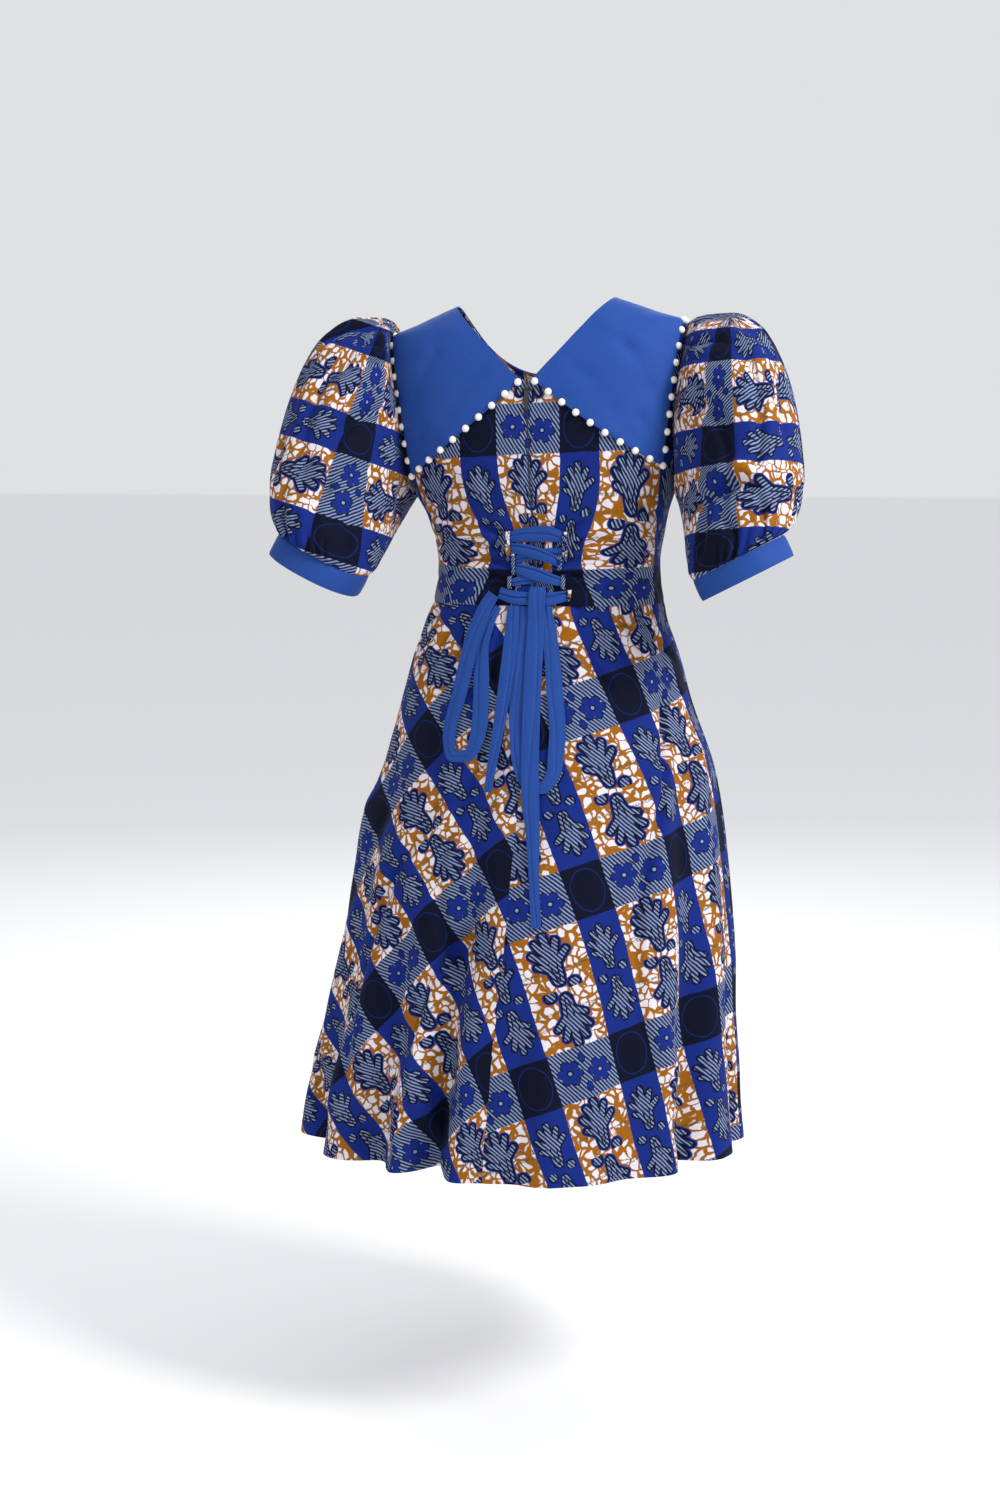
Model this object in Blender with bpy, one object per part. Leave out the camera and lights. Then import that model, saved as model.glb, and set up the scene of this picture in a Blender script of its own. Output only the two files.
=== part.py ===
"""A worn midi dress of printed cotton: fitted bodice open in a deep V at the back, wide pointed collar
edged with beads, puff sleeves on plain cuffs, centre-back zip, laced and tied back waist, flared skirt.

Metres, +Z up. The front faces -Y and the back faces +Y. The origin is the middle of the shoulder line,
where the wearer holds the dress. Every cloth piece is a thin wall: its outer points come from a surface
function of two parameters, and its inner points are the same points moved in by the wall.
"""
import math

import bmesh
import bpy
import numpy as np
from mathutils import Matrix, Vector
from mathutils.bvhtree import BVHTree

WALL = 0.002          # cotton wall, thick enough to collide
SEAM = 0.00017        # each piece stops this far short of a seam line
RIM_GAP = 0.0004      # sleeve root to armhole, on each side

Z_NECK = 0.0          # neck point of the shoulder seam
Z_TIP = -0.034        # outer end of the shoulder seam
Z_PIT = -0.238        # underarm point
Z_V = -0.100          # bottom of the back V
Z_FRONT_NECK = -0.085
Z_WAIST = -0.374      # waist seam
Z_HEM = -1.072
NECK_HALF = 0.100

TORSO_MIDDLE = (0.0, -0.020, -0.300)
TORSO_POWER = 2.4     # roundness of the body's rings, from 2 for an oval up to a square
ARM_CUT = math.radians(28.0)    # how far the armhole cuts in from the side seam
HALF_COLUMNS = 10
SIDE_ROWS, ARM_ROWS = 6, 10
CENTRE_ROWS, NECK_ROWS = 10, 6
SKIRT_ROWS = 11

LEAN = 0.0436         # the upper body leans this much, in radians, over its left hip
LEAN_FROM = -0.33
LEAN_FULL = -0.20

# One row for each level of the torso: half width, depth behind and before the ring's centre, centre.
TORSO = (
    # z, half, back, front, centre_y
    (0.000, 0.100, 0.036, 0.040, -0.010),
    (-0.010, 0.126, 0.048, 0.050, -0.011),
    (-0.020, 0.151, 0.058, 0.060, -0.012),
    (-0.034, 0.186, 0.068, 0.070, -0.014),
    (-0.050, 0.190, 0.078, 0.078, -0.016),
    (-0.080, 0.192, 0.090, 0.090, -0.018),
    (-0.120, 0.190, 0.100, 0.102, -0.020),
    (-0.160, 0.186, 0.106, 0.114, -0.020),
    (-0.200, 0.178, 0.108, 0.123, -0.020),
    (-0.238, 0.164, 0.106, 0.124, -0.020),
    (-0.263, 0.154, 0.102, 0.120, -0.020),
    (-0.284, 0.149, 0.098, 0.114, -0.020),
    (-0.322, 0.1425, 0.095, 0.105, -0.020),
    (-0.350, 0.1440, 0.099, 0.107, -0.020),
    (-0.374, 0.1480, 0.105, 0.112, -0.020),
)

# One row for each level of the skirt's envelope, which its folds are sunk into.
SKIRT = (
    # z, half, back, front, centre_x, centre_y
    (-0.374, 0.1480, 0.105, 0.112, 0.000, -0.020),
    (-0.400, 0.1560, 0.112, 0.120, 0.003, -0.020),
    (-0.436, 0.1690, 0.124, 0.132, 0.003, -0.020),
    (-0.500, 0.1880, 0.146, 0.150, 0.002, -0.020),
    (-0.572, 0.2140, 0.170, 0.172, 0.000, -0.020),
    (-0.630, 0.2320, 0.187, 0.190, 0.004, -0.020),
    (-0.690, 0.2450, 0.203, 0.206, 0.008, -0.020),
    (-0.770, 0.2580, 0.221, 0.224, 0.012, -0.020),
    (-0.830, 0.2670, 0.233, 0.236, 0.016, -0.020),
    (-0.910, 0.2770, 0.247, 0.248, 0.024, -0.020),
    (-0.970, 0.2850, 0.256, 0.256, 0.027, -0.020),
    (-1.030, 0.2930, 0.263, 0.263, 0.032, -0.020),
    (-1.072, 0.2980, 0.267, 0.267, 0.033, -0.020),
)

# One row for each fold of the skirt: its angle from the centre back at the waist and at the hem,
# towards +X, in degrees, its depth at the hem, its half width in degrees, and where it starts.
FOLDS = (
    # waist_deg, hem_deg, depth, spread_deg, z_start
    (12.0, 16.0, 0.058, 5.5, -0.50),
    (28.0, 34.0, 0.036, 6.0, -0.52),
    (52.0, 59.0, 0.036, 7.0, -0.54),
    (76.0, 82.0, 0.026, 6.0, -0.50),
    (-2.0, -4.0, 0.014, 8.0, -0.60),
    (-30.0, -37.0, 0.020, 9.0, -0.48),
    (-60.0, -60.0, 0.046, 6.0, -0.43),
    (-82.0, -84.0, 0.022, 6.0, -0.50),
    (100.0, 104.0, 0.030, 8.0, -0.46),
    (124.0, 128.0, 0.026, 8.0, -0.52),
    (150.0, 154.0, 0.034, 8.0, -0.46),
    (176.0, 179.0, 0.026, 9.0, -0.54),
    (202.0, 204.0, 0.034, 8.0, -0.46),
    (228.0, 230.0, 0.026, 8.0, -0.52),
    (254.0, 252.0, 0.030, 8.0, -0.46),
)

# One row for each ring of a sleeve: share of its length, outer and inner points in the frontal plane,
# half depth and centre across. The armhole itself is the first ring and comes from the bodice.
SLEEVE = (
    # share, outer_x, outer_z, inner_x, inner_z, half_depth, centre_y
    (0.08, 0.205, -0.020, 0.171, -0.243, 0.078, -0.010),
    (0.17, 0.240, -0.017, 0.174, -0.249, 0.088, -0.006),
    (0.28, 0.275, -0.032, 0.178, -0.258, 0.096, 0.004),
    (0.40, 0.302, -0.072, 0.182, -0.269, 0.102, 0.016),
    (0.52, 0.3215, -0.128, 0.186, -0.281, 0.104, 0.032),
    (0.64, 0.3310, -0.176, 0.190, -0.294, 0.102, 0.048),
    (0.75, 0.3350, -0.213, 0.193, -0.307, 0.097, 0.064),
    (0.85, 0.3320, -0.244, 0.197, -0.320, 0.088, 0.078),
    (0.93, 0.3250, -0.267, 0.200, -0.331, 0.077, 0.090),
    (1.00, 0.3150, -0.283, 0.206, -0.339, 0.0625, 0.100),
)
RING_SHARES = (0.08, 0.17, 0.28, 0.40, 0.53, 0.66, 0.78, 0.88, 0.95, 1.0)
SLEEVE_SHIFT = 0.004   # both sleeves sit a little to the left with the lean
SLEEVE_POWER = 2.2
CUFF_DROP = 0.028
CUFF_RAISED = 0.0004
CUFF_AXIS = (0.46, 0.14, -0.876)
HEAD_GATHERS = 14
CUFF_GATHERS = 14
GATHER_HEIGHT = 0.0032

COLLAR_LIFT = 0.0029   # gap between the bodice and the collar over it
COLLAR_WALL = 0.0018
TIP_X, TIP_Z = 0.158, -0.207
COLLAR_V_X = 0.0075    # the two halves stand this far from the centre back
COLLAR_FRONT_LOW = -0.165
RIDGE_REACH = 0.93     # share of the shoulder seam that the collar covers
COLLAR_COLUMNS = 18
COLLAR_BACK_ROWS = 16
COLLAR_FRONT_ROWS = 14
BEAD_HEIGHT = 0.0060
COLLAR_V_RISE = 0.004  # the collar starts this far above the bottom of the V
COLLAR_BOW = 0.004     # bow of its lower edge
NECK_REACH = 0.985     # share of the front neckline that each half covers

ZIP_END = -0.371
ZIP_TOP = -0.1045
ZIP_RIB = 0.0012
ZIP_SIDE_GAP = 0.0003   # from the teeth to each back panel
ZIP_TAPE_WIDTH = 0.022
ZIP_TAPE = 0.0010
ZIP_CLEAR = 0.0005
ZIP_SUNK = 0.0003
ZIP_ROWS = 16

SLIDER_Z = -0.1085
SLIDER = (0.0064, 0.0026, 0.0085)
SLIDER_GAP = 0.0004     # between the slider and the cloth
LUG = (0.0009, 0.0027, 0.0026)
LUG_MIDDLE = 0.00095    # middle of each lug above the slider's face
LUG_GAP = 0.0003        # between each lug and the pull's barrel
PIN_RADIUS = 0.0005
BARREL_RADIUS = 0.0013
BARREL_BORE = 0.0008
BARREL_WIDTH = 0.0026
PIN_HEIGHT = BARREL_RADIUS + 0.0003    # pin's centre above the slider's face
PIN_UP = 0.0016                        # and above the slider's middle
PULL_WIDTH = 0.0050
PULL_LENGTH = 0.0270
PULL_WALL = 0.0009
PULL_NECK = (0.0010, 0.0026, 0.0048)   # where the plate starts, widens and is at its full width
PULL_TILT = math.radians(6.0)

SLOT_REACH = 0.0022     # a ray that slips through a seam is sent again this far beside it

TIE_WALL = 0.0014
TIE_STEP = 0.021
LOOP_WALL = 0.0016
LOOP_WIDTH = 0.0050
LOOP_LEG = (0.0, 0.0012, 0.0026)        # along each leg of a loop, from its end
LOOP_HEIGHT = (0.0020, 0.0048, 0.0062)  # and the height of its outer face there

# Each tie piece: its route as seen from behind.
STRAPS = {
    # x, z, width, lift of its outer face off the cloth
    "tie_lace_top": (
        (0.035, -0.290, 0.008, 0.0018), (0.010, -0.2855, 0.014, 0.0030),
        (-0.015, -0.284, 0.014, 0.0030), (-0.041, -0.291, 0.008, 0.0018)),
    "tie_lace_upper_over": (
        (0.035, -0.3015, 0.008, 0.0026), (0.022, -0.303, 0.009, 0.0044), (0.004, -0.3065, 0.009, 0.0048),
        (-0.018, -0.314, 0.009, 0.0044), (-0.035, -0.3218, 0.0075, 0.0026)),
    "tie_lace_upper_under": (
        (-0.041, -0.3065, 0.008, 0.0022), (-0.009, -0.309, 0.008, 0.0022), (0.028, -0.3175, 0.008, 0.0022)),
    "tie_lace_lower_over": (
        (0.029, -0.3265, 0.008, 0.0026), (0.016, -0.329, 0.010, 0.0044), (-0.002, -0.334, 0.010, 0.0048),
        (-0.023, -0.341, 0.010, 0.0044), (-0.039, -0.3445, 0.008, 0.0026)),
    "tie_lace_lower_under": (
        (-0.022, -0.3368, 0.007, 0.0022), (-0.002, -0.3395, 0.008, 0.0022), (0.034, -0.3462, 0.0065, 0.0022)),
    "tie_tail_long": (
        (-0.006, -0.3500, 0.020, 0.0052), (-0.006, -0.3550, 0.021, 0.0086), (-0.006, -0.3640, 0.021, 0.0096),
        (-0.006, -0.3740, 0.021, 0.0090), (-0.006, -0.3920, 0.021, 0.0068), (-0.006, -0.4280, 0.022, 0.0064),
        (-0.008, -0.5170, 0.022, 0.0064), (-0.012, -0.5960, 0.022, 0.0064), (-0.018, -0.6480, 0.017, 0.0050),
        (-0.021, -0.6890, 0.013, 0.0040), (-0.027, -0.7580, 0.012, 0.0030)),
    "tie_tail_left": (
        (0.024, -0.3735, 0.015, 0.0052), (0.025, -0.4160, 0.018, 0.0052), (0.029, -0.4770, 0.017, 0.0052),
        (0.034, -0.5310, 0.014, 0.0046), (0.040, -0.5790, 0.011, 0.0036), (0.042, -0.5990, 0.009, 0.0032)),
    "tie_bow_right": (
        (-0.016, -0.3735, 0.014, 0.0042), (-0.025, -0.4150, 0.018, 0.0042), (-0.034, -0.4750, 0.020, 0.0042),
        (-0.041, -0.5350, 0.020, 0.0042), (-0.040, -0.5700, 0.018, 0.0040), (-0.025, -0.5920, 0.014, 0.0036),
        (-0.004, -0.5830, 0.015, 0.0032), (0.009, -0.5400, 0.017, 0.0030), (0.013, -0.4760, 0.018, 0.0030),
        (0.012, -0.4160, 0.016, 0.0030), (0.010, -0.3745, 0.012, 0.0030)),
    "tie_bow_left": (
        (0.051, -0.3600, 0.016, 0.0056), (0.060, -0.3750, 0.018, 0.0060), (0.075, -0.4170, 0.021, 0.0062),
        (0.087, -0.4790, 0.020, 0.0062), (0.098, -0.5340, 0.017, 0.0056), (0.092, -0.5580, 0.014, 0.0046),
        (0.072, -0.5570, 0.015, 0.0036), (0.058, -0.5160, 0.021, 0.0030), (0.060, -0.4650, 0.020, 0.0030),
        (0.062, -0.4290, 0.017, 0.0030), (0.055, -0.3950, 0.014, 0.0030), (0.046, -0.3745, 0.012, 0.0018)),
}
KNOT_WALL = 0.0020
KNOT_CROWN = 0.0020
KNOT = (
    (0.042, -0.3580, 0.013, 0.0024), (0.020, -0.3640, 0.014, 0.0052),
    (-0.016, -0.3650, 0.014, 0.0052), (-0.040, -0.3610, 0.012, 0.0024),
)

# Each lacing loop: its name, its place as seen from behind, and its span up and down.
LOOPS = (
    ("lace_loop_left_1", 0.0335, -0.2970, 0.031),
    ("lace_loop_left_2", 0.0265, -0.3220, 0.028),
    ("lace_loop_left_3", 0.0310, -0.3450, 0.016),
    ("lace_loop_right_1", -0.0385, -0.2980, 0.034),
    ("lace_loop_right_2", -0.0320, -0.3212, 0.0185),
    ("lace_loop_right_3", -0.0370, -0.3440, 0.018),
    ("lace_loop_right_4", -0.0450, -0.3610, 0.014),
)

COLOURS = {
    "print": ((0.04, 0.09, 0.42), 0.85, 0.0),
    "plain_blue": ((0.05, 0.14, 0.52), 0.75, 0.0),
    "collar": ((0.06, 0.16, 0.58), 0.7, 0.0),
    "zip": ((0.03, 0.04, 0.045), 0.6, 0.0),
    "metal": ((0.18, 0.20, 0.19), 0.35, 0.9),
}


def clear_scene():
    for thing in list(bpy.data.objects):
        bpy.data.objects.remove(thing)


def smooth_step(value, low, high):
    share = np.clip((value - low) / (high - low), 0.0, 1.0)
    return share * share * (3.0 - 2.0 * share)


def curve_through(rows, column, at):
    """A smooth curve without overshoot through one column of a table, read at any array of places."""
    table = np.array(rows, float)
    table = table[np.argsort(table[:, 0])]
    place, value = table[:, 0], table[:, column]
    slope = np.diff(value) / np.diff(place)
    tangent = np.empty_like(value)
    tangent[0], tangent[-1] = slope[0], slope[-1]
    before, after = slope[:-1], slope[1:]
    same = before * after > 0.0
    total = np.where(same, before + after, 1.0)
    tangent[1:-1] = np.where(same, 2.0 * before * after / total, 0.0)
    at = np.asarray(at, float)
    index = np.clip(np.searchsorted(place, at) - 1, 0, len(place) - 2)
    width = place[index + 1] - place[index]
    t = (at - place[index]) / width
    t_in = np.clip(t, 0.0, 1.0)
    hermite = (
        value[index] * (1 + 2 * t_in) * (1 - t_in) ** 2
        + value[index + 1] * t_in**2 * (3 - 2 * t_in)
        + width * tangent[index] * t_in * (1 - t_in) ** 2
        - width * tangent[index + 1] * t_in**2 * (1 - t_in)
    )
    outside = (t - t_in) * width
    return hermite + outside * np.where(t > 1.0, tangent[index + 1], tangent[index])


def ring_shape(angle, power):
    """Sine and cosine of an angle from the centre back, on a rounded square of half side 1."""
    sine, cosine = np.sin(angle), np.cos(angle)
    radius = (np.abs(sine) ** power + np.abs(cosine) ** power) ** (-1.0 / power)
    return sine * radius, cosine * radius


def torso(angle, z):
    """Point of the bodice: a rounded ring at each height, its upper part leaning over the left hip."""
    across, along = ring_shape(angle, TORSO_POWER)
    depth = np.where(along > 0, curve_through(TORSO, 2, z), curve_through(TORSO, 3, z))
    x = curve_through(TORSO, 1, z) * across
    y = curve_through(TORSO, 4, z) + depth * along
    lean = LEAN * smooth_step(z, LEAN_FROM, LEAN_FULL)
    return np.stack([x + lean * (z - LEAN_FROM), y, z - lean * x], -1)


def skirt_power(z):
    return TORSO_POWER - 0.3 * smooth_step(-z, -Z_WAIST, 0.7)


def skirt_envelope(angle, z):
    across, along = ring_shape(angle, skirt_power(z))
    depth = np.where(along > 0, curve_through(SKIRT, 2, z), curve_through(SKIRT, 3, z))
    x = curve_through(SKIRT, 4, z) + curve_through(SKIRT, 1, z) * across
    y = curve_through(SKIRT, 5, z) + depth * along
    return np.stack([x, y, z + 0.0 * x], -1)


def fold_depth(angle, z):
    """How far the folds sink the skirt in, as a sum of bell-shaped troughs that deepen downwards."""
    total = np.zeros(np.broadcast(angle, z).shape)
    for waist_deg, hem_deg, depth, spread_deg, start in FOLDS:
        down = np.clip((start - z) / (start - Z_HEM), 0.0, 1.0)
        middle = np.radians(waist_deg + (hem_deg - waist_deg) * down)
        away = (angle - middle + math.pi) % (2 * math.pi) - math.pi
        spread = math.radians(spread_deg) * (1.5 - 0.5 * down)
        total = total + depth * down**0.9 * np.exp(-((away / spread) ** 2))
    return total


def skirt(angle, z):
    """Point of the skirt: the envelope moved in towards its middle by the folds."""
    point = skirt_envelope(angle, z)
    middle = np.stack([curve_through(SKIRT, 4, z), curve_through(SKIRT, 5, z), z], -1)
    middle = np.broadcast_to(middle, point.shape)
    inward = middle - point
    inward = inward / np.linalg.norm(inward, axis=-1, keepdims=True)
    return point + inward * fold_depth(angle, z)[..., None]


def normals_of(surface, first, second, outward):
    """Unit normals of a surface function, on the side given by outward, 1 or -1."""
    step = 1e-4
    along_first = surface(first + step, second) - surface(first - step, second)
    along_second = surface(first, second + step) - surface(first, second - step)
    normal = np.cross(along_first, along_second) * outward
    return normal / np.linalg.norm(normal, axis=-1, keepdims=True)


def outward_normals(surface, first, second, about):
    """Normals that point away from a middle, with the lowest row level to meet the skirt squarely."""
    normal = normals_of(surface, first, second, 1)
    normal *= np.sign((normal * (surface(first, second) - about)).sum(-1).mean())
    normal[0, :, 2] = 0.0
    return normal / np.linalg.norm(normal, axis=-1, keepdims=True)


def inset_edges(points, bottom=SEAM, top=SEAM, start=SEAM, end=SEAM):
    """Moves the border of a grid of points inwards along the grid, so that neighbours stay apart."""
    def step(edge, inner, amount):
        way = inner - edge
        return amount * way / np.linalg.norm(way, axis=-1, keepdims=True)
    moved = points.copy()
    moved[0] += step(points[0], points[1], bottom)
    moved[-1] += step(points[-1], points[-2], top)
    moved[:, 0] += step(points[:, 0], points[:, 1], start)
    moved[:, -1] += step(points[:, -1], points[:, -2], end)
    return moved


def rim_faces(outer_loop, inner_loop, ratio):
    """Joins two edge loops, where one inner point faces every ratio-th outer point."""
    faces = []
    middle = ratio // 2
    for i in range(len(inner_loop) - 1):
        first, second = inner_loop[i], inner_loop[i + 1]
        for j in range(ratio):
            a, b = outer_loop[i * ratio + j], outer_loop[i * ratio + j + 1]
            if j == middle:
                faces.append((a, first, second))
            faces.append((b, a, first if j < middle else second))
    return faces


def wall_mesh(name, outer, inner, skip=(1, 1), closed=False):
    """A closed wall from a grid of outer points and a coarser grid of inner ones, as one mesh."""
    rows, columns = outer.shape[:2]
    inner = inner[:: skip[0], :: skip[1]]
    inner_rows, inner_columns = inner.shape[:2]
    points = np.concatenate([outer.reshape(-1, 3), inner.reshape(-1, 3)])
    base = rows * columns

    def out(r, c):
        return r * columns + c % columns

    def into(r, c):
        return base + r * inner_columns + c % inner_columns

    faces = []
    wrap, inner_wrap = (columns, inner_columns) if closed else (columns - 1, inner_columns - 1)
    for r in range(rows - 1):
        for c in range(wrap):
            faces.append((out(r, c), out(r, c + 1), out(r + 1, c + 1), out(r + 1, c)))
    for r in range(inner_rows - 1):
        for c in range(inner_wrap):
            faces.append((into(r, c), into(r + 1, c), into(r + 1, c + 1), into(r, c + 1)))
    last, inner_last = rows - 1, inner_rows - 1
    if closed:
        faces += rim_faces(
            [out(0, c) for c in range(columns + 1)],
            [into(0, c) for c in range(inner_columns + 1)], skip[1])
        faces += rim_faces(
            [out(last, -c) for c in range(columns + 1)],
            [into(inner_last, -c) for c in range(inner_columns + 1)], skip[1])
    else:
        end, inner_end = columns - 1, inner_columns - 1
        faces += rim_faces([out(0, c) for c in range(columns)],
                           [into(0, c) for c in range(inner_columns)], skip[1])
        faces += rim_faces([out(r, end) for r in range(rows)],
                           [into(r, inner_end) for r in range(inner_rows)], skip[0])
        faces += rim_faces([out(last, end - c) for c in range(columns)],
                           [into(inner_last, inner_end - c) for c in range(inner_columns)], skip[1])
        faces += rim_faces([out(last - r, 0) for r in range(rows)],
                           [into(inner_last - r, 0) for r in range(inner_rows)], skip[0])
    mesh = bpy.data.meshes.new(name)
    mesh.from_pydata([tuple(p) for p in points], [], faces)
    mesh.validate()
    return mesh


def shell_mesh(name, outer, normals, faces):
    """A closed wall from any sheet of faces: the same faces moved in, and a rim along each open edge."""
    count = len(outer)
    sides = {}
    for face in faces:
        for a, b in zip(face, face[1:] + face[:1]):
            sides[(a, b)] = True
    rims = [(b, a, a + count, b + count) for a, b in sides if (b, a) not in sides]
    inner = [tuple(i + count for i in face[::-1]) for face in faces]
    points = np.concatenate([outer, outer - WALL * normals])
    mesh = bpy.data.meshes.new(name)
    mesh.from_pydata([tuple(p) for p in points], [], faces + inner + rims)
    work = bmesh.new()
    work.from_mesh(mesh)
    loose = [vertex for vertex in work.verts if not vertex.link_faces]
    bmesh.ops.delete(work, geom=loose, context="VERTS")
    work.to_mesh(mesh)
    work.free()
    return mesh


def add_object(name, mesh, look):
    """Puts a mesh into the scene with its faces outwards and a material of its own."""
    work = bmesh.new()
    work.from_mesh(mesh)
    if work.calc_volume(signed=True) < 0:
        bmesh.ops.reverse_faces(work, faces=work.faces)
    work.to_mesh(mesh)
    work.free()
    thing = bpy.data.objects.new(name, mesh)
    bpy.context.scene.collection.objects.link(thing)
    colour, roughness, metallic = COLOURS[look]
    material = bpy.data.materials.new(name)
    material.use_nodes = True
    shader = material.node_tree.nodes["Principled BSDF"]
    shader.inputs["Base Color"].default_value = (*colour, 1.0)
    shader.inputs["Roughness"].default_value = roughness
    shader.inputs["Metallic"].default_value = metallic
    mesh.materials.append(material)
    mesh.shade_smooth()
    mesh.set_sharp_from_angle(angle=math.radians(40))
    return thing


def even_curve(curve, count, samples=400):
    """Parameters from 0 to 1 that space a curve's points evenly along its length."""
    t = np.linspace(0.0, 1.0, samples)
    points = curve(t)
    length = np.concatenate([[0.0], np.cumsum(np.linalg.norm(np.diff(points, axis=0), axis=1))])
    return np.interp(np.linspace(0.0, length[-1], count + 1), length, t)


def angle_of(share):
    """The angle from the centre back whose point lies this share of the half width across."""
    angles = np.linspace(0.0, math.pi / 2, 400)
    return np.interp(np.clip(share, 0.0, 1.0), ring_shape(angles, TORSO_POWER)[0], angles)


def neck_place(share, z_low, half_low):
    """Angle and height along a straight neckline edge, from its low end at the middle to the neck point."""
    z = z_low + (Z_NECK - z_low) * share
    x = half_low + (NECK_HALF - half_low) * share
    return angle_of(x / curve_through(TORSO, 1, z)), z


def front_neck_place(share):
    """The round front neckline, from the middle to the neck point."""
    turn = share * math.pi / 2
    z = Z_NECK + (Z_FRONT_NECK - Z_NECK) * np.cos(turn) ** 1.3
    x = NECK_HALF * np.sin(turn) ** 0.9
    return angle_of(x / curve_through(TORSO, 1, z)), z


def armhole_place(turn):
    """Angle and height round the armhole: turn is 0 at the shoulder tip and pi at the underarm."""
    share = (1.0 + np.cos(turn)) / 2.0
    z = Z_PIT + (Z_TIP - Z_PIT) * share
    dip = np.sqrt(np.abs(np.sin(math.pi * share)))
    return math.pi / 2 - ARM_CUT * dip, z


def even_places(place, low, high, count):
    """Angles and heights along part of an edge of the bodice, evenly spaced over the body."""
    def curve(t):
        return torso(*place(low + (high - low) * t))
    return place(low + (high - low) * even_curve(curve, count))


def joined(*parts):
    """Chains edge stretches that share their end points."""
    angles = np.concatenate([parts[0][0]] + [p[0][1:] for p in parts[1:]])
    heights = np.concatenate([parts[0][1]] + [p[1][1:] for p in parts[1:]])
    return np.stack([angles, heights], -1)


def coons(bottom, top, start, end):
    """Fills a grid between four edges, each a list of angle and height, in those two numbers."""
    rows, columns = len(start), len(bottom)
    v = np.linspace(0.0, 1.0, rows)[:, None, None]
    u = np.linspace(0.0, 1.0, columns)[None, :, None]
    ruled = (1 - v) * bottom[None] + v * top[None] + (1 - u) * start[:, None] + u * end[:, None]
    corners = ((1 - u) * (1 - v) * bottom[0] + u * (1 - v) * bottom[-1]
               + (1 - u) * v * top[0] + u * v * top[-1])
    return ruled - corners


def half_places(neck_at, z_low):
    """Grid of angle and height of one half of the bodice: centre to side, and waist to shoulder."""
    def centre(t):
        return 0.0 * t, Z_WAIST + (z_low - Z_WAIST) * t

    def side(t):
        return math.pi / 2 + 0.0 * t, Z_WAIST + (Z_PIT - Z_WAIST) * t

    def ridge(t):
        return math.pi / 2 + 0.0 * t, Z_NECK + (Z_TIP - Z_NECK) * t

    start = joined(even_places(centre, 0.0, 1.0, CENTRE_ROWS), even_places(neck_at, 0.0, 1.0, NECK_ROWS))
    end = joined(even_places(side, 0.0, 1.0, SIDE_ROWS),
                 even_places(armhole_place, math.pi, 0.0, ARM_ROWS))
    angles = np.linspace(0.0, math.pi / 2, HALF_COLUMNS + 1)
    bottom = np.stack([angles, 0.0 * angles + Z_WAIST], -1)
    top = np.stack(even_places(ridge, 0.0, 1.0, HALF_COLUMNS), -1)
    return coons(bottom, top, start, end)


def back_half(name, side):
    """Half of the back bodice. side is 1 on the wearer's left, which is +X, and -1 on the right."""
    places = half_places(lambda t: neck_place(t, Z_V, 0.0), Z_V)
    angle, z = places[..., 0] * side, places[..., 1]
    outer = torso(angle, z)
    normal = outward_normals(torso, angle, z, TORSO_MIDDLE)
    outer = inset_edges(outer)
    centre = places[:, 0, 0] < 1e-6
    outer[centre, 0, 0] += side * (ZIP_RIB / 2 + ZIP_SIDE_GAP)
    outer[SIDE_ROWS:, -1] -= side * np.array([RIM_GAP, 0, 0])
    inner = outer - WALL * normal
    mesh = wall_mesh(name, outer, inner, skip=(1, 2))
    return add_object(name, mesh, "print")


def front_bodice():
    """Both halves of the front on one grid, welded along the middle up to the neckline."""
    places = half_places(front_neck_place, Z_FRONT_NECK)
    outers, normals, faces = [], [], []
    rows, columns = places.shape[:2]
    for side in (1, -1):
        angle, z = side * (math.pi - places[..., 0]), places[..., 1]
        normal = outward_normals(torso, angle, z, TORSO_MIDDLE)
        outer = inset_edges(torso(angle, z), start=0.0)
        outer[SIDE_ROWS:, -1] -= side * np.array([RIM_GAP, 0, 0])
        middle = places[:, 0, 0] < 1e-6
        outer[middle, 0] = torso(angle, z)[middle, 0]
        outer[0, 0, 2] += SEAM
        outers.append(outer.reshape(-1, 3))
        normals.append(normal.reshape(-1, 3))
        base = 0 if side > 0 else rows * columns
        for r in range(rows - 1):
            for c in range(columns - 1):
                corner = base + r * columns + c
                quad = (corner, corner + 1, corner + columns + 1, corner + columns)
                faces.append(quad if side < 0 else quad[::-1])
    shared = {rows * columns + r * columns: r * columns for r in range(CENTRE_ROWS + 1)}
    faces = [tuple(shared.get(i, i) for i in face) for face in faces]
    mesh = shell_mesh("bodice_front", np.concatenate(outers), np.concatenate(normals), faces)
    return add_object("bodice_front", mesh, "print")


def skirt_panel(name, low_deg, high_deg, columns):
    """A stretch of the skirt from one seam to the next, its wall measured level."""
    angle = np.radians(np.linspace(low_deg, high_deg, columns + 1))[None, :]
    drop = np.linspace(0.0, 1.0, SKIRT_ROWS + 1)[:, None]
    z = Z_WAIST + (Z_HEM - Z_WAIST) * drop
    angle, z = np.broadcast_arrays(angle, z)
    outer = skirt(angle, z)
    step = 1e-4
    tangent = skirt(angle + step, z) - skirt(angle - step, z)
    normal = np.cross(tangent, [0, 0, 1.0])
    normal /= np.linalg.norm(normal, axis=-1, keepdims=True)
    normal *= np.sign((normal * (outer - [0, -0.02, 0])).sum(-1).mean())
    outer = inset_edges(outer, top=0.0)
    mesh = wall_mesh(name, outer, outer - WALL * normal)
    return add_object(name, mesh, "print")


def sleeve_turns():
    """Turns round a sleeve from its top: close together over the gathered head, sparse underneath."""
    head = np.linspace(-115.0, 115.0, 41)
    under = np.linspace(115.0, 245.0, 9)[1:-1]
    turns = np.concatenate([head, under])
    return np.radians(turns)


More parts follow.
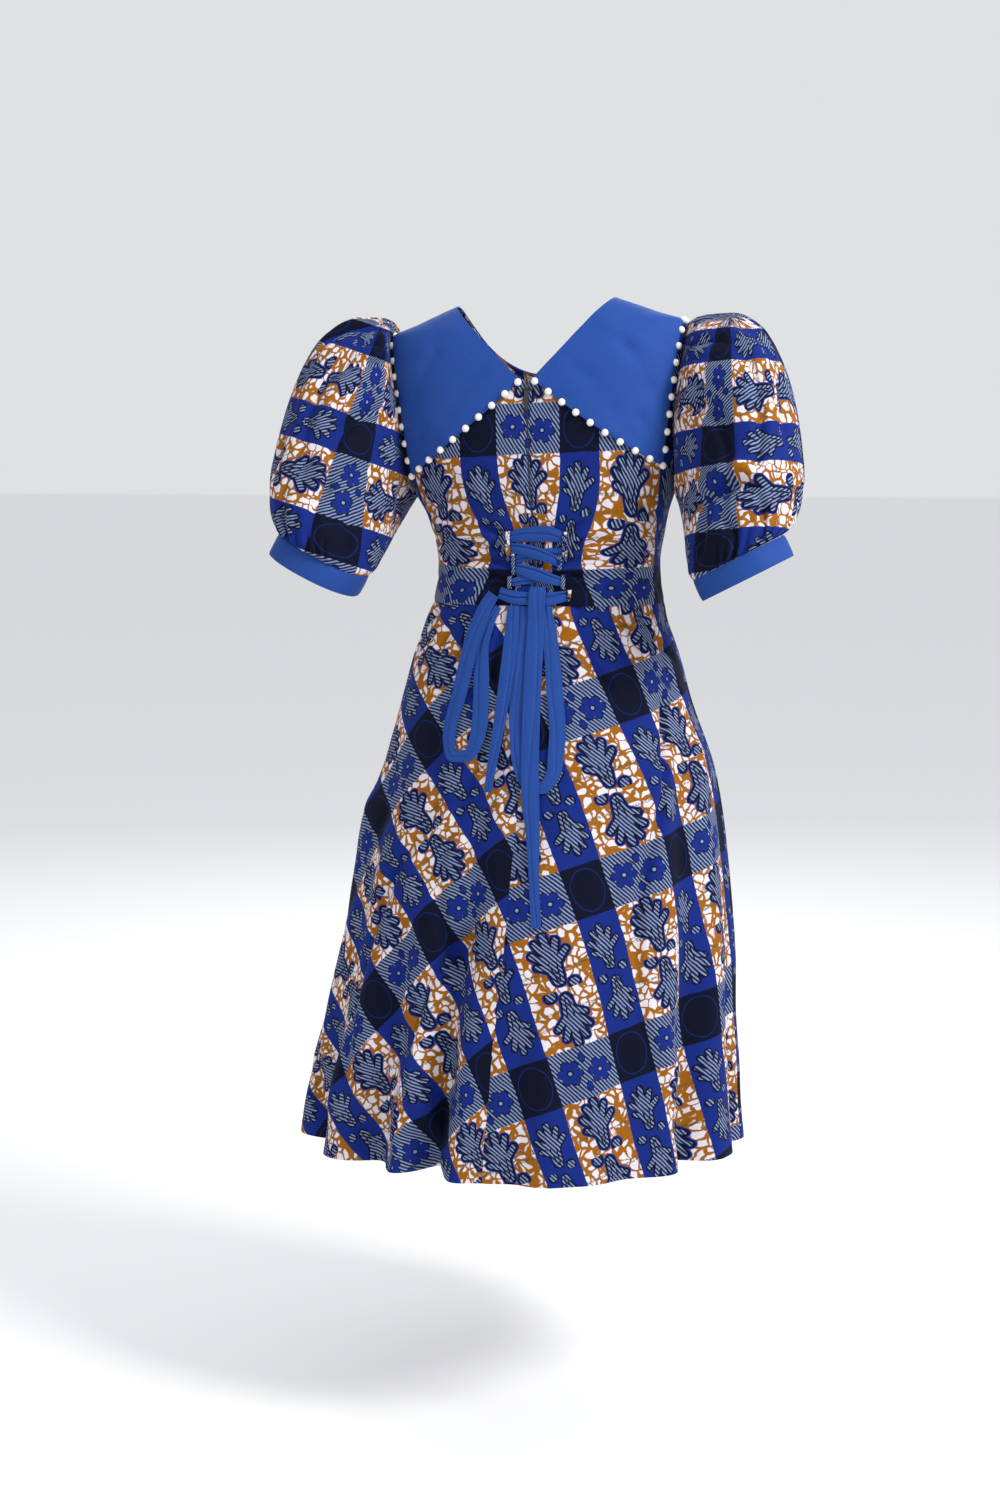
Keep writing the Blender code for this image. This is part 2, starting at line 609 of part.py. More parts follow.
def gathers(turn, share):
    """Ripples that fan out from the armhole over the head, and from the cuff all round."""
    head = np.cos(turn * HEAD_GATHERS * 360 / 230) * smooth_step(np.cos(turn), -0.45, 0.2)
    head = head * np.clip(share / 0.14, 0, 1) * np.exp(-((share / 0.26) ** 2))
    cuff = np.cos(turn * CUFF_GATHERS * 360 / 230 + 0.6) * smooth_step(np.cos(turn), -0.6, 0.1)
    cuff = cuff * np.clip((1 - share) / 0.04, 0, 1) * np.exp(-(((1 - share) / 0.22) ** 2))
    return GATHER_HEIGHT * (head + 0.8 * cuff)


def sleeve_ring(turn, share, side):
    """Point of a sleeve past its root: a rounded ring between an outer and an inner point."""
    outer_x, outer_z, inner_x, inner_z, half, centre_y = (
        curve_through(SLEEVE, column, share) for column in range(1, 7))
    across, along = ring_shape(turn, SLEEVE_POWER)
    ripple = gathers(turn, share)
    reach_x, reach_z = (outer_x - inner_x) / 2, (outer_z - inner_z) / 2
    scale = 1.0 + ripple / np.hypot(reach_x, reach_z)
    x = (outer_x + inner_x) / 2 + reach_x * along * scale
    z = (outer_z + inner_z) / 2 + reach_z * along * scale
    y = centre_y + half * across * scale
    return np.stack([side * x + SLEEVE_SHIFT, y, z], -1)


def armhole_rim(turn, side):
    """Points along the straight stretches of the armhole's edge, behind and in front.

    turn is 0 at the shoulder tip, positive behind and negative in front.
    """
    knots = math.pi * (1.0 - even_curve(lambda t: torso(*armhole_place(math.pi * (1 - t))), ARM_ROWS))
    knots = np.concatenate([-knots[:-1], knots[::-1]])
    angle, z = armhole_place(np.abs(knots))
    angle = np.where(knots > 0, angle, math.pi - angle) * side
    points = torso(angle, z)
    return np.stack([np.interp(turn, knots, points[:, k]) for k in range(3)], -1)


def sleeve(name, side):
    turn = sleeve_turns()
    root = armhole_rim(np.where(turn > math.pi, turn - 2 * math.pi, turn), side)
    root = root + side * np.array([RIM_GAP, 0, 0])

    def surface(a, b):
        return sleeve_ring(a, b, side)

    turns, shares = np.broadcast_arrays(turn[None, :], np.array(RING_SHARES)[:, None])
    rings = surface(turns, shares)
    normals = normals_of(surface, turns, np.minimum(shares, 0.9995), 1)
    normals *= np.sign((normals * (rings - rings.mean(axis=1, keepdims=True))).sum(-1).mean())
    axis = cuff_axis(side)
    level = normals[-1] - (normals[-1] @ axis)[:, None] * axis
    normals[-1] = level / np.linalg.norm(level, axis=-1, keepdims=True)
    outer = np.concatenate([root[None], rings])
    outer[-1] -= SEAM * axis
    inner = outer - WALL * np.concatenate([normals[:1], normals])
    return add_object(name, wall_mesh(name, outer, inner, closed=True), "print")


def cuff_axis(side):
    axis = np.array(CUFF_AXIS) * [side, 1, 1]
    return axis / np.linalg.norm(axis)


def cuff(name, side):
    """A plain band in line with the sleeve's lower end."""
    turn = sleeve_turns()[::2]
    axis = cuff_axis(side)
    ring = sleeve_ring(turn, np.ones_like(turn), side)
    radial = ring - ring.mean(axis=0)
    radial -= (radial @ axis)[:, None] * axis
    radial /= np.linalg.norm(radial, axis=-1, keepdims=True)
    drops = np.array([SEAM, CUFF_DROP])
    outer = ring[None] + drops[:, None, None] * axis + radial * CUFF_RAISED
    inner = outer - WALL * radial
    return add_object(name, wall_mesh(name, outer, inner, closed=True), "plain_blue")


def collar_shoulder():
    """Where the collar's outer edge crosses the shoulder seam: across and up."""
    z = Z_NECK + (Z_TIP - Z_NECK) * RIDGE_REACH
    return curve_through(TORSO, 1, z), z


def collar_edge_out(share):
    """The collar's outer edge behind, from its point up to the shoulder, straight as seen from behind."""
    top_x, top_z = collar_shoulder()
    z = TIP_Z + (top_z - TIP_Z) * share
    x = TIP_X + (top_x - TIP_X) * share
    return angle_of(x / curve_through(TORSO, 1, z)), z


def collar_edge_low(share):
    """The collar's lower edge behind, from the bottom of the V out to the point, bowed a little."""
    x = COLLAR_V_X + (TIP_X - COLLAR_V_X) * share
    low = Z_V + COLLAR_V_RISE
    z = low + (TIP_Z - low) * share - COLLAR_BOW * np.sin(math.pi * share)
    return angle_of(x / curve_through(TORSO, 1, z)), z


def collar_front_out(share):
    """The collar's outer edge in front, from the shoulder round to the middle."""
    top_x, top_z = collar_shoulder()
    turn = share * math.pi / 2
    z = COLLAR_FRONT_LOW + (top_z - COLLAR_FRONT_LOW) * np.cos(turn) ** 1.2
    x = top_x * np.cos(turn) ** 0.55 + 0.004 * (1 - np.cos(turn))
    return math.pi - angle_of(x / curve_through(TORSO, 1, z)), z


def ridge_place(share):
    z = Z_NECK + (Z_TIP - Z_NECK) * share
    return math.pi / 2 + 0.0 * share, z


def stretch(place, low, high, count):
    return np.stack(even_places(place, low, high, count), -1)


def collar_places():
    """Angles and heights of the collar: neck edge to outer edge, and back point over to the front."""
    def neck_back(t):
        return neck_place(t, Z_V + COLLAR_V_RISE, COLLAR_V_X)

    def neck_front(t):
        angle, z = front_neck_place(1.0 - t * NECK_REACH)
        return math.pi - angle, z

    def front_end(t):
        low = np.array(neck_front(1.0))
        far = np.array(collar_front_out(1.0))
        return low[0] + (far[0] - low[0]) * t, low[1] + (far[1] - low[1]) * t

    ridge = stretch(ridge_place, 0.0, RIDGE_REACH, COLLAR_COLUMNS)
    back = coons(stretch(collar_edge_low, 0.0, 1.0, COLLAR_COLUMNS), ridge,
                 stretch(neck_back, 0.0, 1.0, COLLAR_BACK_ROWS),
                 stretch(collar_edge_out, 0.0, 1.0, COLLAR_BACK_ROWS))
    front = coons(ridge, stretch(front_end, 0.0, 1.0, COLLAR_COLUMNS),
                  stretch(neck_front, 0.0, 1.0, COLLAR_FRONT_ROWS),
                  stretch(collar_front_out, 0.0, 1.0, COLLAR_FRONT_ROWS))
    return np.concatenate([back, front[1:]])


def collar(name, side):
    """A collar half: the bodice's surface moved out, with beads raised along its outer border."""
    places = collar_places()
    angle, z = places[..., 0] * side, places[..., 1]
    skin = torso(angle, z)
    normal = normals_of(torso, angle, z, 1)
    normal *= np.sign((normal * (skin - TORSO_MIDDLE)).sum(-1).mean())
    outer = skin + (COLLAR_LIFT + COLLAR_WALL) * normal
    inner = skin + COLLAR_LIFT * normal
    outer[2:-1:2, -2] += BEAD_HEIGHT * normal[2:-1:2, -2]
    outer[1, 2:-1:2] += BEAD_HEIGHT * normal[1, 2:-1:2]
    mesh = wall_mesh(name, outer, inner, skip=(1, 2))
    return add_object(name, mesh, "collar")


def back_depth(panels, x, z, inside=False):
    """How far back the panels' outer or inner face lies at places seen from behind, seam slots bridged."""
    x, z = np.broadcast_arrays(x, z)
    start_y, way, keep = (0.0, 1.0, min) if inside else (0.5, -1.0, max)
    depth = np.zeros(x.shape)
    for index, _ in np.ndenumerate(depth):
        hits = []
        for across, up in ((0, 0), (-1, 0), (1, 0), (0, -1), (0, 1)):
            start = Vector((x[index] + across * SLOT_REACH, start_y, z[index] + up * SLOT_REACH))
            for panel in panels:
                hit = panel.ray_cast(start, Vector((0, way, 0)), 0.45)[0]
                if hit is not None:
                    hits.append(hit.y)
        depth[index] = keep(hits)
    return depth


def along_route(rows, step):
    """Rows along a route given by a short table, no further apart than the step."""
    table = np.array(rows, float)
    part = np.hypot(*np.diff(table[:, :2], axis=0).T)
    length = np.concatenate([[0.0], np.cumsum(part)])
    at = np.concatenate([
        np.linspace(length[i], length[i + 1], math.ceil(part[i] / step), endpoint=False)
        for i in range(len(part))] + [length[-1:]])
    table = np.concatenate([length[:, None], table], axis=1)
    return np.stack([curve_through(table, column, at) for column in range(1, table.shape[1])], -1)


def strap(name, panels, rows, wall=TIE_WALL, crown=0.0):
    """A flat tie laid over the back: its route seen from behind, its width, and its lift off the cloth."""
    x, z, width, lift = along_route(rows, TIE_STEP).T
    ahead_x, ahead_z = np.gradient(x), np.gradient(z)
    length = np.hypot(ahead_x, ahead_z)
    grid = []
    for place in (-1.0, 0.0, 1.0):
        px = x - place * width / 2 * ahead_z / length
        pz = z + place * width / 2 * ahead_x / length
        py = back_depth(panels, px, pz) + lift + crown * (1.0 - abs(place))
        grid.append(np.stack([px, py, pz], -1))
    outer = np.stack(grid, 1)
    mesh = wall_mesh(name, outer, outer - np.array([0, wall, 0]))
    return add_object(name, mesh, "plain_blue")


def lace_loop(name, panels, x, z, span):
    """A short arch of folded cloth sewn to the back at both ends, which the tie passes under."""
    leg, height = np.array(LOOP_LEG), np.array(LOOP_HEIGHT)
    pz = z + np.concatenate([leg - span / 2, (span / 2 - leg)[::-1]])
    height = np.concatenate([height, height[::-1]])
    grid = []
    for place in (-1.0, 1.0):
        px = x + place * LOOP_WIDTH / 2 + 0.0 * pz
        grid.append(np.stack([px, back_depth(panels, px, pz) + height, pz], -1))
    outer = np.stack(grid, 1)
    mesh = wall_mesh(name, outer, outer - np.array([0, LOOP_WALL, 0]))
    return add_object(name, mesh, "print")


def zip_tape(panels):
    """The closed zip: a tape behind the centre back seam, with its teeth filling the seam."""
    line = torso(0.0, np.linspace(ZIP_END, ZIP_TOP, ZIP_ROWS + 1))[:, None, :]
    rib, tape = ZIP_RIB / 2, ZIP_TAPE_WIDTH / 2
    x = line[..., 0] + np.array([-rib, rib, rib, tape, tape, -tape, -tape, -rib])
    z = line[..., 2] + 0.0 * x
    under = np.array([0, 0, 1, 1, 2, 2, 1, 1])
    outside, inside = back_depth(panels, x, z), back_depth(panels, x, z, inside=True)
    depth = np.where(under == 0, outside - ZIP_SUNK, inside - ZIP_CLEAR - ZIP_TAPE * (under == 2))
    grid = np.stack([x, depth, z], -1)
    rows, columns = grid.shape[:2]
    faces = []
    for r in range(rows - 1):
        for c in range(columns):
            d = (c + 1) % columns
            faces.append((r * columns + c, r * columns + d, (r + 1) * columns + d, (r + 1) * columns + c))
    faces.append(tuple(range(columns))[::-1])
    faces.append(tuple(range((rows - 1) * columns, rows * columns)))
    mesh = bpy.data.meshes.new("zip_tape")
    mesh.from_pydata([tuple(p) for p in grid.reshape(-1, 3)], [], faces)
    return add_object("zip_tape", mesh, "zip")


def slider_frame():
    """Place of the zip slider: X across, Y out of the cloth and Z up the seam."""
    step = 0.002
    here = torso(np.array(0.0), np.array(SLIDER_Z))
    up = torso(np.array(0.0), np.array(SLIDER_Z + step)) - here
    up = Vector((0.0, up[1], up[2])).normalized()
    out = up.cross(Vector((1.0, 0.0, 0.0)))
    return Matrix((Vector((1, 0, 0)), out, up)).transposed().to_4x4(), Vector(here)


def box_mesh(name, size, centre):
    work = bmesh.new()
    bmesh.ops.create_cube(work, size=1.0)
    bmesh.ops.scale(work, vec=size, verts=work.verts)
    bmesh.ops.translate(work, vec=centre, verts=work.verts)
    mesh = bpy.data.meshes.new(name)
    work.to_mesh(mesh)
    work.free()
    return mesh


def helper(name, mesh, matrix):
    thing = bpy.data.objects.new(name, mesh)
    bpy.context.scene.collection.objects.link(thing)
    thing.matrix_world = matrix
    thing.hide_render = True
    thing.display_type = "WIRE"
    return thing


def join_to(thing, others):
    for other in others:
        union = thing.modifiers.new(other.name, "BOOLEAN")
        union.operation = "UNION"
        union.object = other


def slider_matrix():
    turn, here = slider_frame()
    face = here + turn.to_3x3() @ Vector((0, SLIDER_GAP + SLIDER[1], 0))
    return Matrix.Translation(face) @ turn


def zip_slider():
    """The slider's body with two lugs and the pin between them, its outer face at the local origin."""
    matrix = slider_matrix()
    thing = add_object("zip_slider", box_mesh("zip_slider", SLIDER, (0, -SLIDER[1] / 2, 0)), "metal")
    thing.matrix_world = matrix
    lug_x = BARREL_WIDTH / 2 + LUG_GAP + LUG[0] / 2
    parts = []
    for word, side in (("left", 1), ("right", -1)):
        centre = (side * lug_x, LUG_MIDDLE, PIN_UP)
        parts.append(helper(f"lug_{word}", box_mesh(f"lug_{word}", LUG, centre), matrix))
    work = bmesh.new()
    bmesh.ops.create_cone(work, cap_ends=True, segments=12, radius1=PIN_RADIUS, radius2=PIN_RADIUS,
                          depth=2 * lug_x, matrix=Matrix.Rotation(math.pi / 2, 4, "Y"))
    bmesh.ops.translate(work, vec=(0, PIN_HEIGHT, PIN_UP), verts=work.verts)
    mesh = bpy.data.meshes.new("zip_pin")
    work.to_mesh(mesh)
    work.free()
    parts.append(helper("zip_pin", mesh, matrix))
    join_to(thing, parts)
    return thing


def zip_pull():
    """The pull tab: a barrel round the slider's pin and a tapered plate that hangs from it."""
    turn = np.linspace(0.0, 2 * math.pi, 16, endpoint=False)
    circle = np.stack([0 * turn, np.cos(turn), np.sin(turn)], -1)
    ends = np.array([-BARREL_WIDTH / 2, BARREL_WIDTH / 2])[:, None, None] * np.array([1.0, 0, 0])
    barrel = wall_mesh("zip_pull", ends + BARREL_RADIUS * circle, ends + BARREL_BORE * circle, closed=True)
    thing = add_object("zip_pull", barrel, "metal")
    half, neck = PULL_WIDTH / 2, BARREL_WIDTH / 2
    start, widens, full = PULL_NECK
    outline = ((neck, -start), (neck, -widens), (half, -full), (half * 0.92, -PULL_LENGTH * 0.9),
               (half * 0.55, -PULL_LENGTH))
    outline = outline + tuple((-x, z) for x, z in outline[::-1])
    work = bmesh.new()
    face = work.faces.new([work.verts.new((x, -PULL_WALL / 2, z)) for x, z in outline])
    grown = bmesh.ops.extrude_face_region(work, geom=[face])
    raised = [item for item in grown["geom"] if isinstance(item, bmesh.types.BMVert)]
    bmesh.ops.translate(work, vec=(0, PULL_WALL, 0), verts=raised)
    bmesh.ops.recalc_face_normals(work, faces=work.faces)
    plate = bpy.data.meshes.new("pull_plate")
    work.to_mesh(plate)
    work.free()
    pivot = slider_matrix() @ Matrix.Translation((0, PIN_HEIGHT, PIN_UP))
    hang = pivot @ Matrix.Rotation(-PULL_TILT, 4, "X")
    thing.matrix_world = hang
    join_to(thing, [helper("pull_plate", plate, hang)])
    return thing


def main():
    clear_scene()
    panels = [
        back_half("bodice_back_left", 1),
        back_half("bodice_back_right", -1),
        skirt_panel("skirt_back_left", 0.0, 90.0, 22),
        skirt_panel("skirt_back_right", -90.0, 0.0, 22),
    ]
    skirt_panel("skirt_front", 90.0, 270.0, 40)
    front_bodice()
    for side, word in ((1, "left"), (-1, "right")):
        sleeve(f"sleeve_{word}", side)
        cuff(f"cuff_{word}", side)
        collar(f"collar_{word}", side)
    bpy.context.view_layer.update()
    depsgraph = bpy.context.evaluated_depsgraph_get()
    cloth = [BVHTree.FromObject(panel, depsgraph) for panel in panels]
    for name, rows in STRAPS.items():
        strap(name, cloth, rows)
    strap("tie_knot", cloth, KNOT, wall=KNOT_WALL, crown=KNOT_CROWN)
    for name, x, z, span in LOOPS:
        lace_loop(name, cloth, x, z, span)
    zip_tape(cloth)
    zip_slider()
    zip_pull()


main()
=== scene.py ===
import math

import bpy
import numpy as np
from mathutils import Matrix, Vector


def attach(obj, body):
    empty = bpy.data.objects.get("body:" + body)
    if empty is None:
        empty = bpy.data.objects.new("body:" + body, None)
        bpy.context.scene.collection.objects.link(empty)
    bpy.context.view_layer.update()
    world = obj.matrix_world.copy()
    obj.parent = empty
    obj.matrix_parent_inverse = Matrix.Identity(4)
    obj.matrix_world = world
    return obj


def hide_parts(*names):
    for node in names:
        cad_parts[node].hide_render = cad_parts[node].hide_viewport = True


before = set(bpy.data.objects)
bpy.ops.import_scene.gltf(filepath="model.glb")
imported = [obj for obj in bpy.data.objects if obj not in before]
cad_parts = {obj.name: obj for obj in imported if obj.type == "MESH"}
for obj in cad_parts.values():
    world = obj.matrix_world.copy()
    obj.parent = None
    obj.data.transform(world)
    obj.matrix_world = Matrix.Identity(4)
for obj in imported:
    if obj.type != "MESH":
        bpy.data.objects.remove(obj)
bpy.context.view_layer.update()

print("frame loaded")

# A worn midi dress of printed cotton, seen from behind. Metres, +Z up, back towards +Y, the wearer's
# left towards +X. Every cloth piece is a thin shell on a formula of two parameters.


# Formulas for forms.

# 3t^2 - 2t^3, where t runs from 0 at low to 1 at high.
def smoothStep(value, low, high):
    share = np.clip((value - low) / (high - low), 0.0, 1.0)
    return share * share * (3.0 - 2.0 * share)


# Cubic Hermite curve through one column of a table. Each slope is the harmonic mean of its two
# neighbours' slopes, and zero at a turning point, so the curve never overshoots.
def curveThrough(rows, column, at):
    table = np.array(rows, float)
    table = table[np.argsort(table[:, 0])]
    place, value = table[:, 0], table[:, column]
    slope = np.diff(value) / np.diff(place)
    tangent = np.empty_like(value)
    tangent[0], tangent[-1] = slope[0], slope[-1]
    before, after = slope[:-1], slope[1:]
    same = before * after > 0.0
    tangent[1:-1] = np.where(same, 2.0 * before * after / np.where(same, before + after, 1.0), 0.0)
    at = np.asarray(at, float)
    index = np.clip(np.searchsorted(place, at) - 1, 0, len(place) - 2)
    width = place[index + 1] - place[index]
    t = (at - place[index]) / width
    inside = np.clip(t, 0.0, 1.0)
    hermite = (value[index] * (1 + 2 * inside) * (1 - inside) ** 2
               + value[index + 1] * inside**2 * (3 - 2 * inside)
               + width * tangent[index] * inside * (1 - inside) ** 2
               - width * tangent[index + 1] * inside**2 * (1 - inside))
    return hermite + (t - inside) * width * np.where(t > 1.0, tangent[index + 1], tangent[index])


# Rounded square |x|^p + |y|^p = 1, read at an angle from the centre back.
def ringShape(angle, power):
    sine, cosine = np.sin(angle), np.cos(angle)
    radius = (np.abs(sine) ** power + np.abs(cosine) ** power) ** (-1.0 / power)
    return sine * radius, cosine * radius


creaseLooks = {"bow": 0.10, "evenShare": 0.65, "unevenShare": 0.35, "waves": 5.1, "shift": 9.0, "fade": 1.6}


# A bell-shaped trough or ridge round each line of a table: height times exp(-(distance / width)^2),
# faded at both ends, where distance runs to the line between two places in the piece's own numbers.
def creases(table, first, second, metresPerFirst, metresPerSecond):
    looks = creaseLooks
    total = np.zeros(np.broadcast(first, second).shape)
    for a0, b0, a1, b1, width, height in table:
        runA, runB = (a1 - a0) * metresPerFirst, (b1 - b0) * metresPerSecond
        atA, atB = (first - a0) * metresPerFirst, (second - b0) * metresPerSecond
        length = math.hypot(runA, runB)
        along = (atA * runA + atB * runB) / length
        bow = looks["bow"] * length * np.sin(np.clip(along / length, 0, 1) * math.pi)
        away = (atA * runB - atB * runA) / length + bow
        past = np.maximum(0, np.maximum(-along, along - length))
        wave = np.sin(along / length * looks["waves"] + a0 * looks["shift"])
        swell = looks["evenShare"] + looks["unevenShare"] * wave
        total += height * swell * np.exp(-(away / width) ** 2 - (past / (looks["fade"] * width)) ** 2)
    return total


# Unit normals of a grid of points: the cross product of its two directions, turned away from a middle.
def gridNormals(points, middle, tube=False):
    rowWay = np.gradient(points, axis=0)
    columnWay = np.gradient(points, axis=1)
    if tube:
        wrap = (points[:, 1] - points[:, -2]) / 2
        columnWay[:, 0] = columnWay[:, -1] = wrap
    normal = np.cross(rowWay, columnWay)
    size = np.linalg.norm(normal, axis=-1, keepdims=True)
    normal = normal / np.where(size > 1e-12, size, 1.0)
    return normal * np.sign((normal * (points - middle)).sum(-1).mean())


# Corner numbers of the quads of a grid.
def gridQuads(rows, columns, base, flip):
    row, column = np.meshgrid(np.arange(rows - 1), np.arange(columns - 1), indexing="ij")
    corner = (base + row * columns + column).ravel()
    quads = np.stack([corner, corner + 1, corner + columns + 1, corner + columns], -1)
    return quads[:, ::-1] if flip else quads


# Quads of a ring of loops, where each loop is closed.
def loopQuads(loops, sides):
    loop, side = np.meshgrid(np.arange(loops - 1), np.arange(sides), indexing="ij")
    after = (side + 1) % sides
    return np.stack([loop * sides + side, loop * sides + after, (loop + 1) * sides + after,
                     (loop + 1) * sides + side], -1).reshape(-1, 4)


# Length along a row of points, as the running sum of its chords.
def runLength(points):
    return np.concatenate([[0.0], np.cumsum(np.linalg.norm(np.diff(points, axis=0), axis=-1))])


# Normals of a piece that lies flat on the back: all of them point backwards.
def facingBack(points):
    return np.broadcast_to(np.array([0.0, 1.0, 0.0]), points.shape)


def makeMesh(name, points, quads, material, cut=None, sharp=50.0):
    mesh = bpy.data.meshes.new(name)
    mesh.vertices.add(len(points))
    mesh.vertices.foreach_set("co", np.asarray(points, np.float32).ravel())
    mesh.loops.add(quads.size)
    mesh.loops.foreach_set("vertex_index", quads.astype(np.int32).ravel())
    mesh.polygons.add(len(quads))
    mesh.polygons.foreach_set("loop_start", np.arange(0, quads.size, 4, dtype=np.int32))
    mesh.update(calc_edges=True)
    if cut is not None:
        layer = mesh.uv_layers.new(name="cut")
        layer.data.foreach_set("uv", np.asarray(cut, np.float32)[quads.ravel()].ravel())
    mesh.validate()
    mesh.shade_smooth()
    mesh.set_sharp_from_angle(angle=math.radians(sharp))
    mesh.materials.append(material)
    thing = bpy.data.objects.new(name, mesh)
    bpy.context.scene.collection.objects.link(thing)
    return thing


# Points and quads of one sheet: outer points, the same moved in by the wall, and a rim along all four
# edges. Its corner numbers start at the given base.
def sheetParts(outer, normal, wall, base):
    rows, columns = outer.shape[:2]
    count = rows * columns
    points = np.concatenate([outer.reshape(-1, 3), (outer - wall * normal).reshape(-1, 3)])
    number = base + np.arange(count).reshape(rows, columns)
    border = np.concatenate([number[0, :-1], number[:-1, -1], number[-1, :0:-1], number[:0:-1, 0]])
    after = np.roll(border, -1)
    rim = np.stack([after, border, border + count, after + count], -1)
    way = np.cross(outer[1, 0] - outer[0, 0], outer[0, 1] - outer[0, 0])
    turned = (way * normal[0, 0]).sum() > 0
    return points, np.concatenate([gridQuads(rows, columns, base, turned),
                                   gridQuads(rows, columns, base + count, not turned),
                                   rim[:, ::-1] if turned else rim])


# A cloth piece of one or more sheets, each given as its outer points, normals and flat places.
def makeShell(name, sheets, wall, material):
    points, quads, cuts, base = [], [], [], 0
    for outer, normal, cut in sheets:
        sheetPoints, sheetQuads = sheetParts(outer, normal, wall, base)
        points.append(sheetPoints)
        quads.append(sheetQuads)
        base += len(sheetPoints)
        if cut is not None:
            cuts += [cut.reshape(-1, 2)] * 2
    return makeMesh(name, np.concatenate(points), np.concatenate(quads), material,
                    np.concatenate(cuts) if cuts else None)


# Shader node helpers.

def feed(tree, value, socket):
    if isinstance(value, bpy.types.NodeSocket):
        tree.links.new(value, socket)
    else:
        socket.default_value = value


def calc(tree, operation, *values, clamp=False):
    node = tree.nodes.new("ShaderNodeMath")
    node.operation = operation
    node.use_clamp = clamp
    for socket, value in zip(node.inputs, values):
        feed(tree, value, socket)
    return node.outputs[0]


def vectorCalc(tree, operation, *values):
    node = tree.nodes.new("ShaderNodeVectorMath")
    node.operation = operation
    for socket, value in zip(node.inputs, values):
        feed(tree, value, socket)
    return node.outputs["Value" if operation in ("DOT_PRODUCT", "LENGTH") else "Vector"]


def scaled(tree, vector, factor):
    node = tree.nodes.new("ShaderNodeVectorMath")
    node.operation = "SCALE"
    feed(tree, vector, node.inputs[0])
    feed(tree, factor, node.inputs["Scale"])
    return node.outputs["Vector"]


def joinXY(tree, x, y):
    node = tree.nodes.new("ShaderNodeCombineXYZ")
    feed(tree, x, node.inputs[0])
    feed(tree, y, node.inputs[1])
    return node.outputs[0]


# 0 below an edge and 1 above it, with a soft step of the given width; a negative width falls instead.
def stepAt(tree, value, edge, width):
    if isinstance(edge, bpy.types.NodeSocket):
        value, edge = calc(tree, "SUBTRACT", value, edge), 0.0
    return calc(tree, "MULTIPLY_ADD", value, 1.0 / width, 0.5 - edge / width, clamp=True)


def blendColours(tree, factor, first, second, way="MIX"):
    node = tree.nodes.new("ShaderNodeMix")
    node.data_type = "RGBA"
    node.blend_type = way
    feed(tree, factor, node.inputs[0])
    feed(tree, first, node.inputs[6])
    feed(tree, second, node.inputs[7])
    return node.outputs[2]


def noiseAt(tree, vector, scale, detail=2.0):
    node = tree.nodes.new("ShaderNodeTexNoise")
    feed(tree, vector, node.inputs["Vector"])
    node.inputs["Scale"].default_value = scale
    node.inputs["Detail"].default_value = detail
    return node.outputs[0]


def newGroup(name, inputs, outputs):
    group = bpy.data.node_groups.new(name, "ShaderNodeTree")
    for label, kind, value in inputs:
        socket = group.interface.new_socket(label, in_out="INPUT", socket_type=kind)
        if value is not None:
            socket.default_value = value
    for label, kind in outputs:
        group.interface.new_socket(label, in_out="OUTPUT", socket_type=kind)
    return group, group.nodes.new("NodeGroupInput").outputs, group.nodes.new("NodeGroupOutput").inputs


def useGroup(tree, group, **values):
    node = tree.nodes.new("ShaderNodeGroup")
    node.node_tree = group
    for label, value in values.items():
        feed(tree, value, node.inputs[label.replace("_", " ")])
    return node.outputs


# Shared effects.

# Distance to a finger: the distance to the line between two points, less a radius that changes along it.
def fingerGroup():
    group, given, result = newGroup("finger", [
        ("Point", "NodeSocketVector", None), ("Start", "NodeSocketVector", None),
        ("End", "NodeSocketVector", None), ("Start radius", "NodeSocketFloat", 0.004),
        ("End radius", "NodeSocketFloat", 0.004)], [("Distance", "NodeSocketFloat")])
    fromStart = vectorCalc(group, "SUBTRACT", given["Point"], given["Start"])
    run = vectorCalc(group, "SUBTRACT", given["End"], given["Start"])
    share = calc(group, "DIVIDE", vectorCalc(group, "DOT_PRODUCT", fromStart, run),
                 vectorCalc(group, "DOT_PRODUCT", run, run), clamp=True)
    away = vectorCalc(group, "SUBTRACT", fromStart, scaled(group, run, share))
    wider = calc(group, "SUBTRACT", given["End radius"], given["Start radius"])
    radius = calc(group, "MULTIPLY_ADD", wider, share, given["Start radius"])
    feed(group, calc(group, "SUBTRACT", vectorCalc(group, "LENGTH", away), radius), result["Distance"])
    return group


# The weave: two sets of threads that pass over and under each other, as the product of two sine waves.
def weaveGroup():
    group, given, result = newGroup("weave", [
        ("Vector", "NodeSocketVector", None), ("Threads per metre", "NodeSocketFloat", 1400.0),
        ("Depth", "NodeSocketFloat", 0.00006), ("Slub", "NodeSocketFloat", 0.5)],
        [("Height", "NodeSocketFloat"), ("Tint", "NodeSocketFloat")])
    parts = group.nodes.new("ShaderNodeSeparateXYZ")
    feed(group, given["Vector"], parts.inputs[0])
    waves = []
    for side in (0, 1):
        turn = calc(group, "MULTIPLY", parts.outputs[side], given["Threads per metre"])
        waves.append(calc(group, "SINE", calc(group, "MULTIPLY", turn, math.pi)))
    weave = calc(group, "MULTIPLY", waves[0], waves[1])
    slub = noiseAt(group, given["Vector"], 260.0, 3.0)
    height = calc(group, "MULTIPLY_ADD", slub, given["Slub"], weave)
    feed(group, calc(group, "MULTIPLY", height, given["Depth"]), result["Height"])
    feed(group, calc(group, "MULTIPLY_ADD", slub, 0.24, 0.88), result["Tint"])
    return group


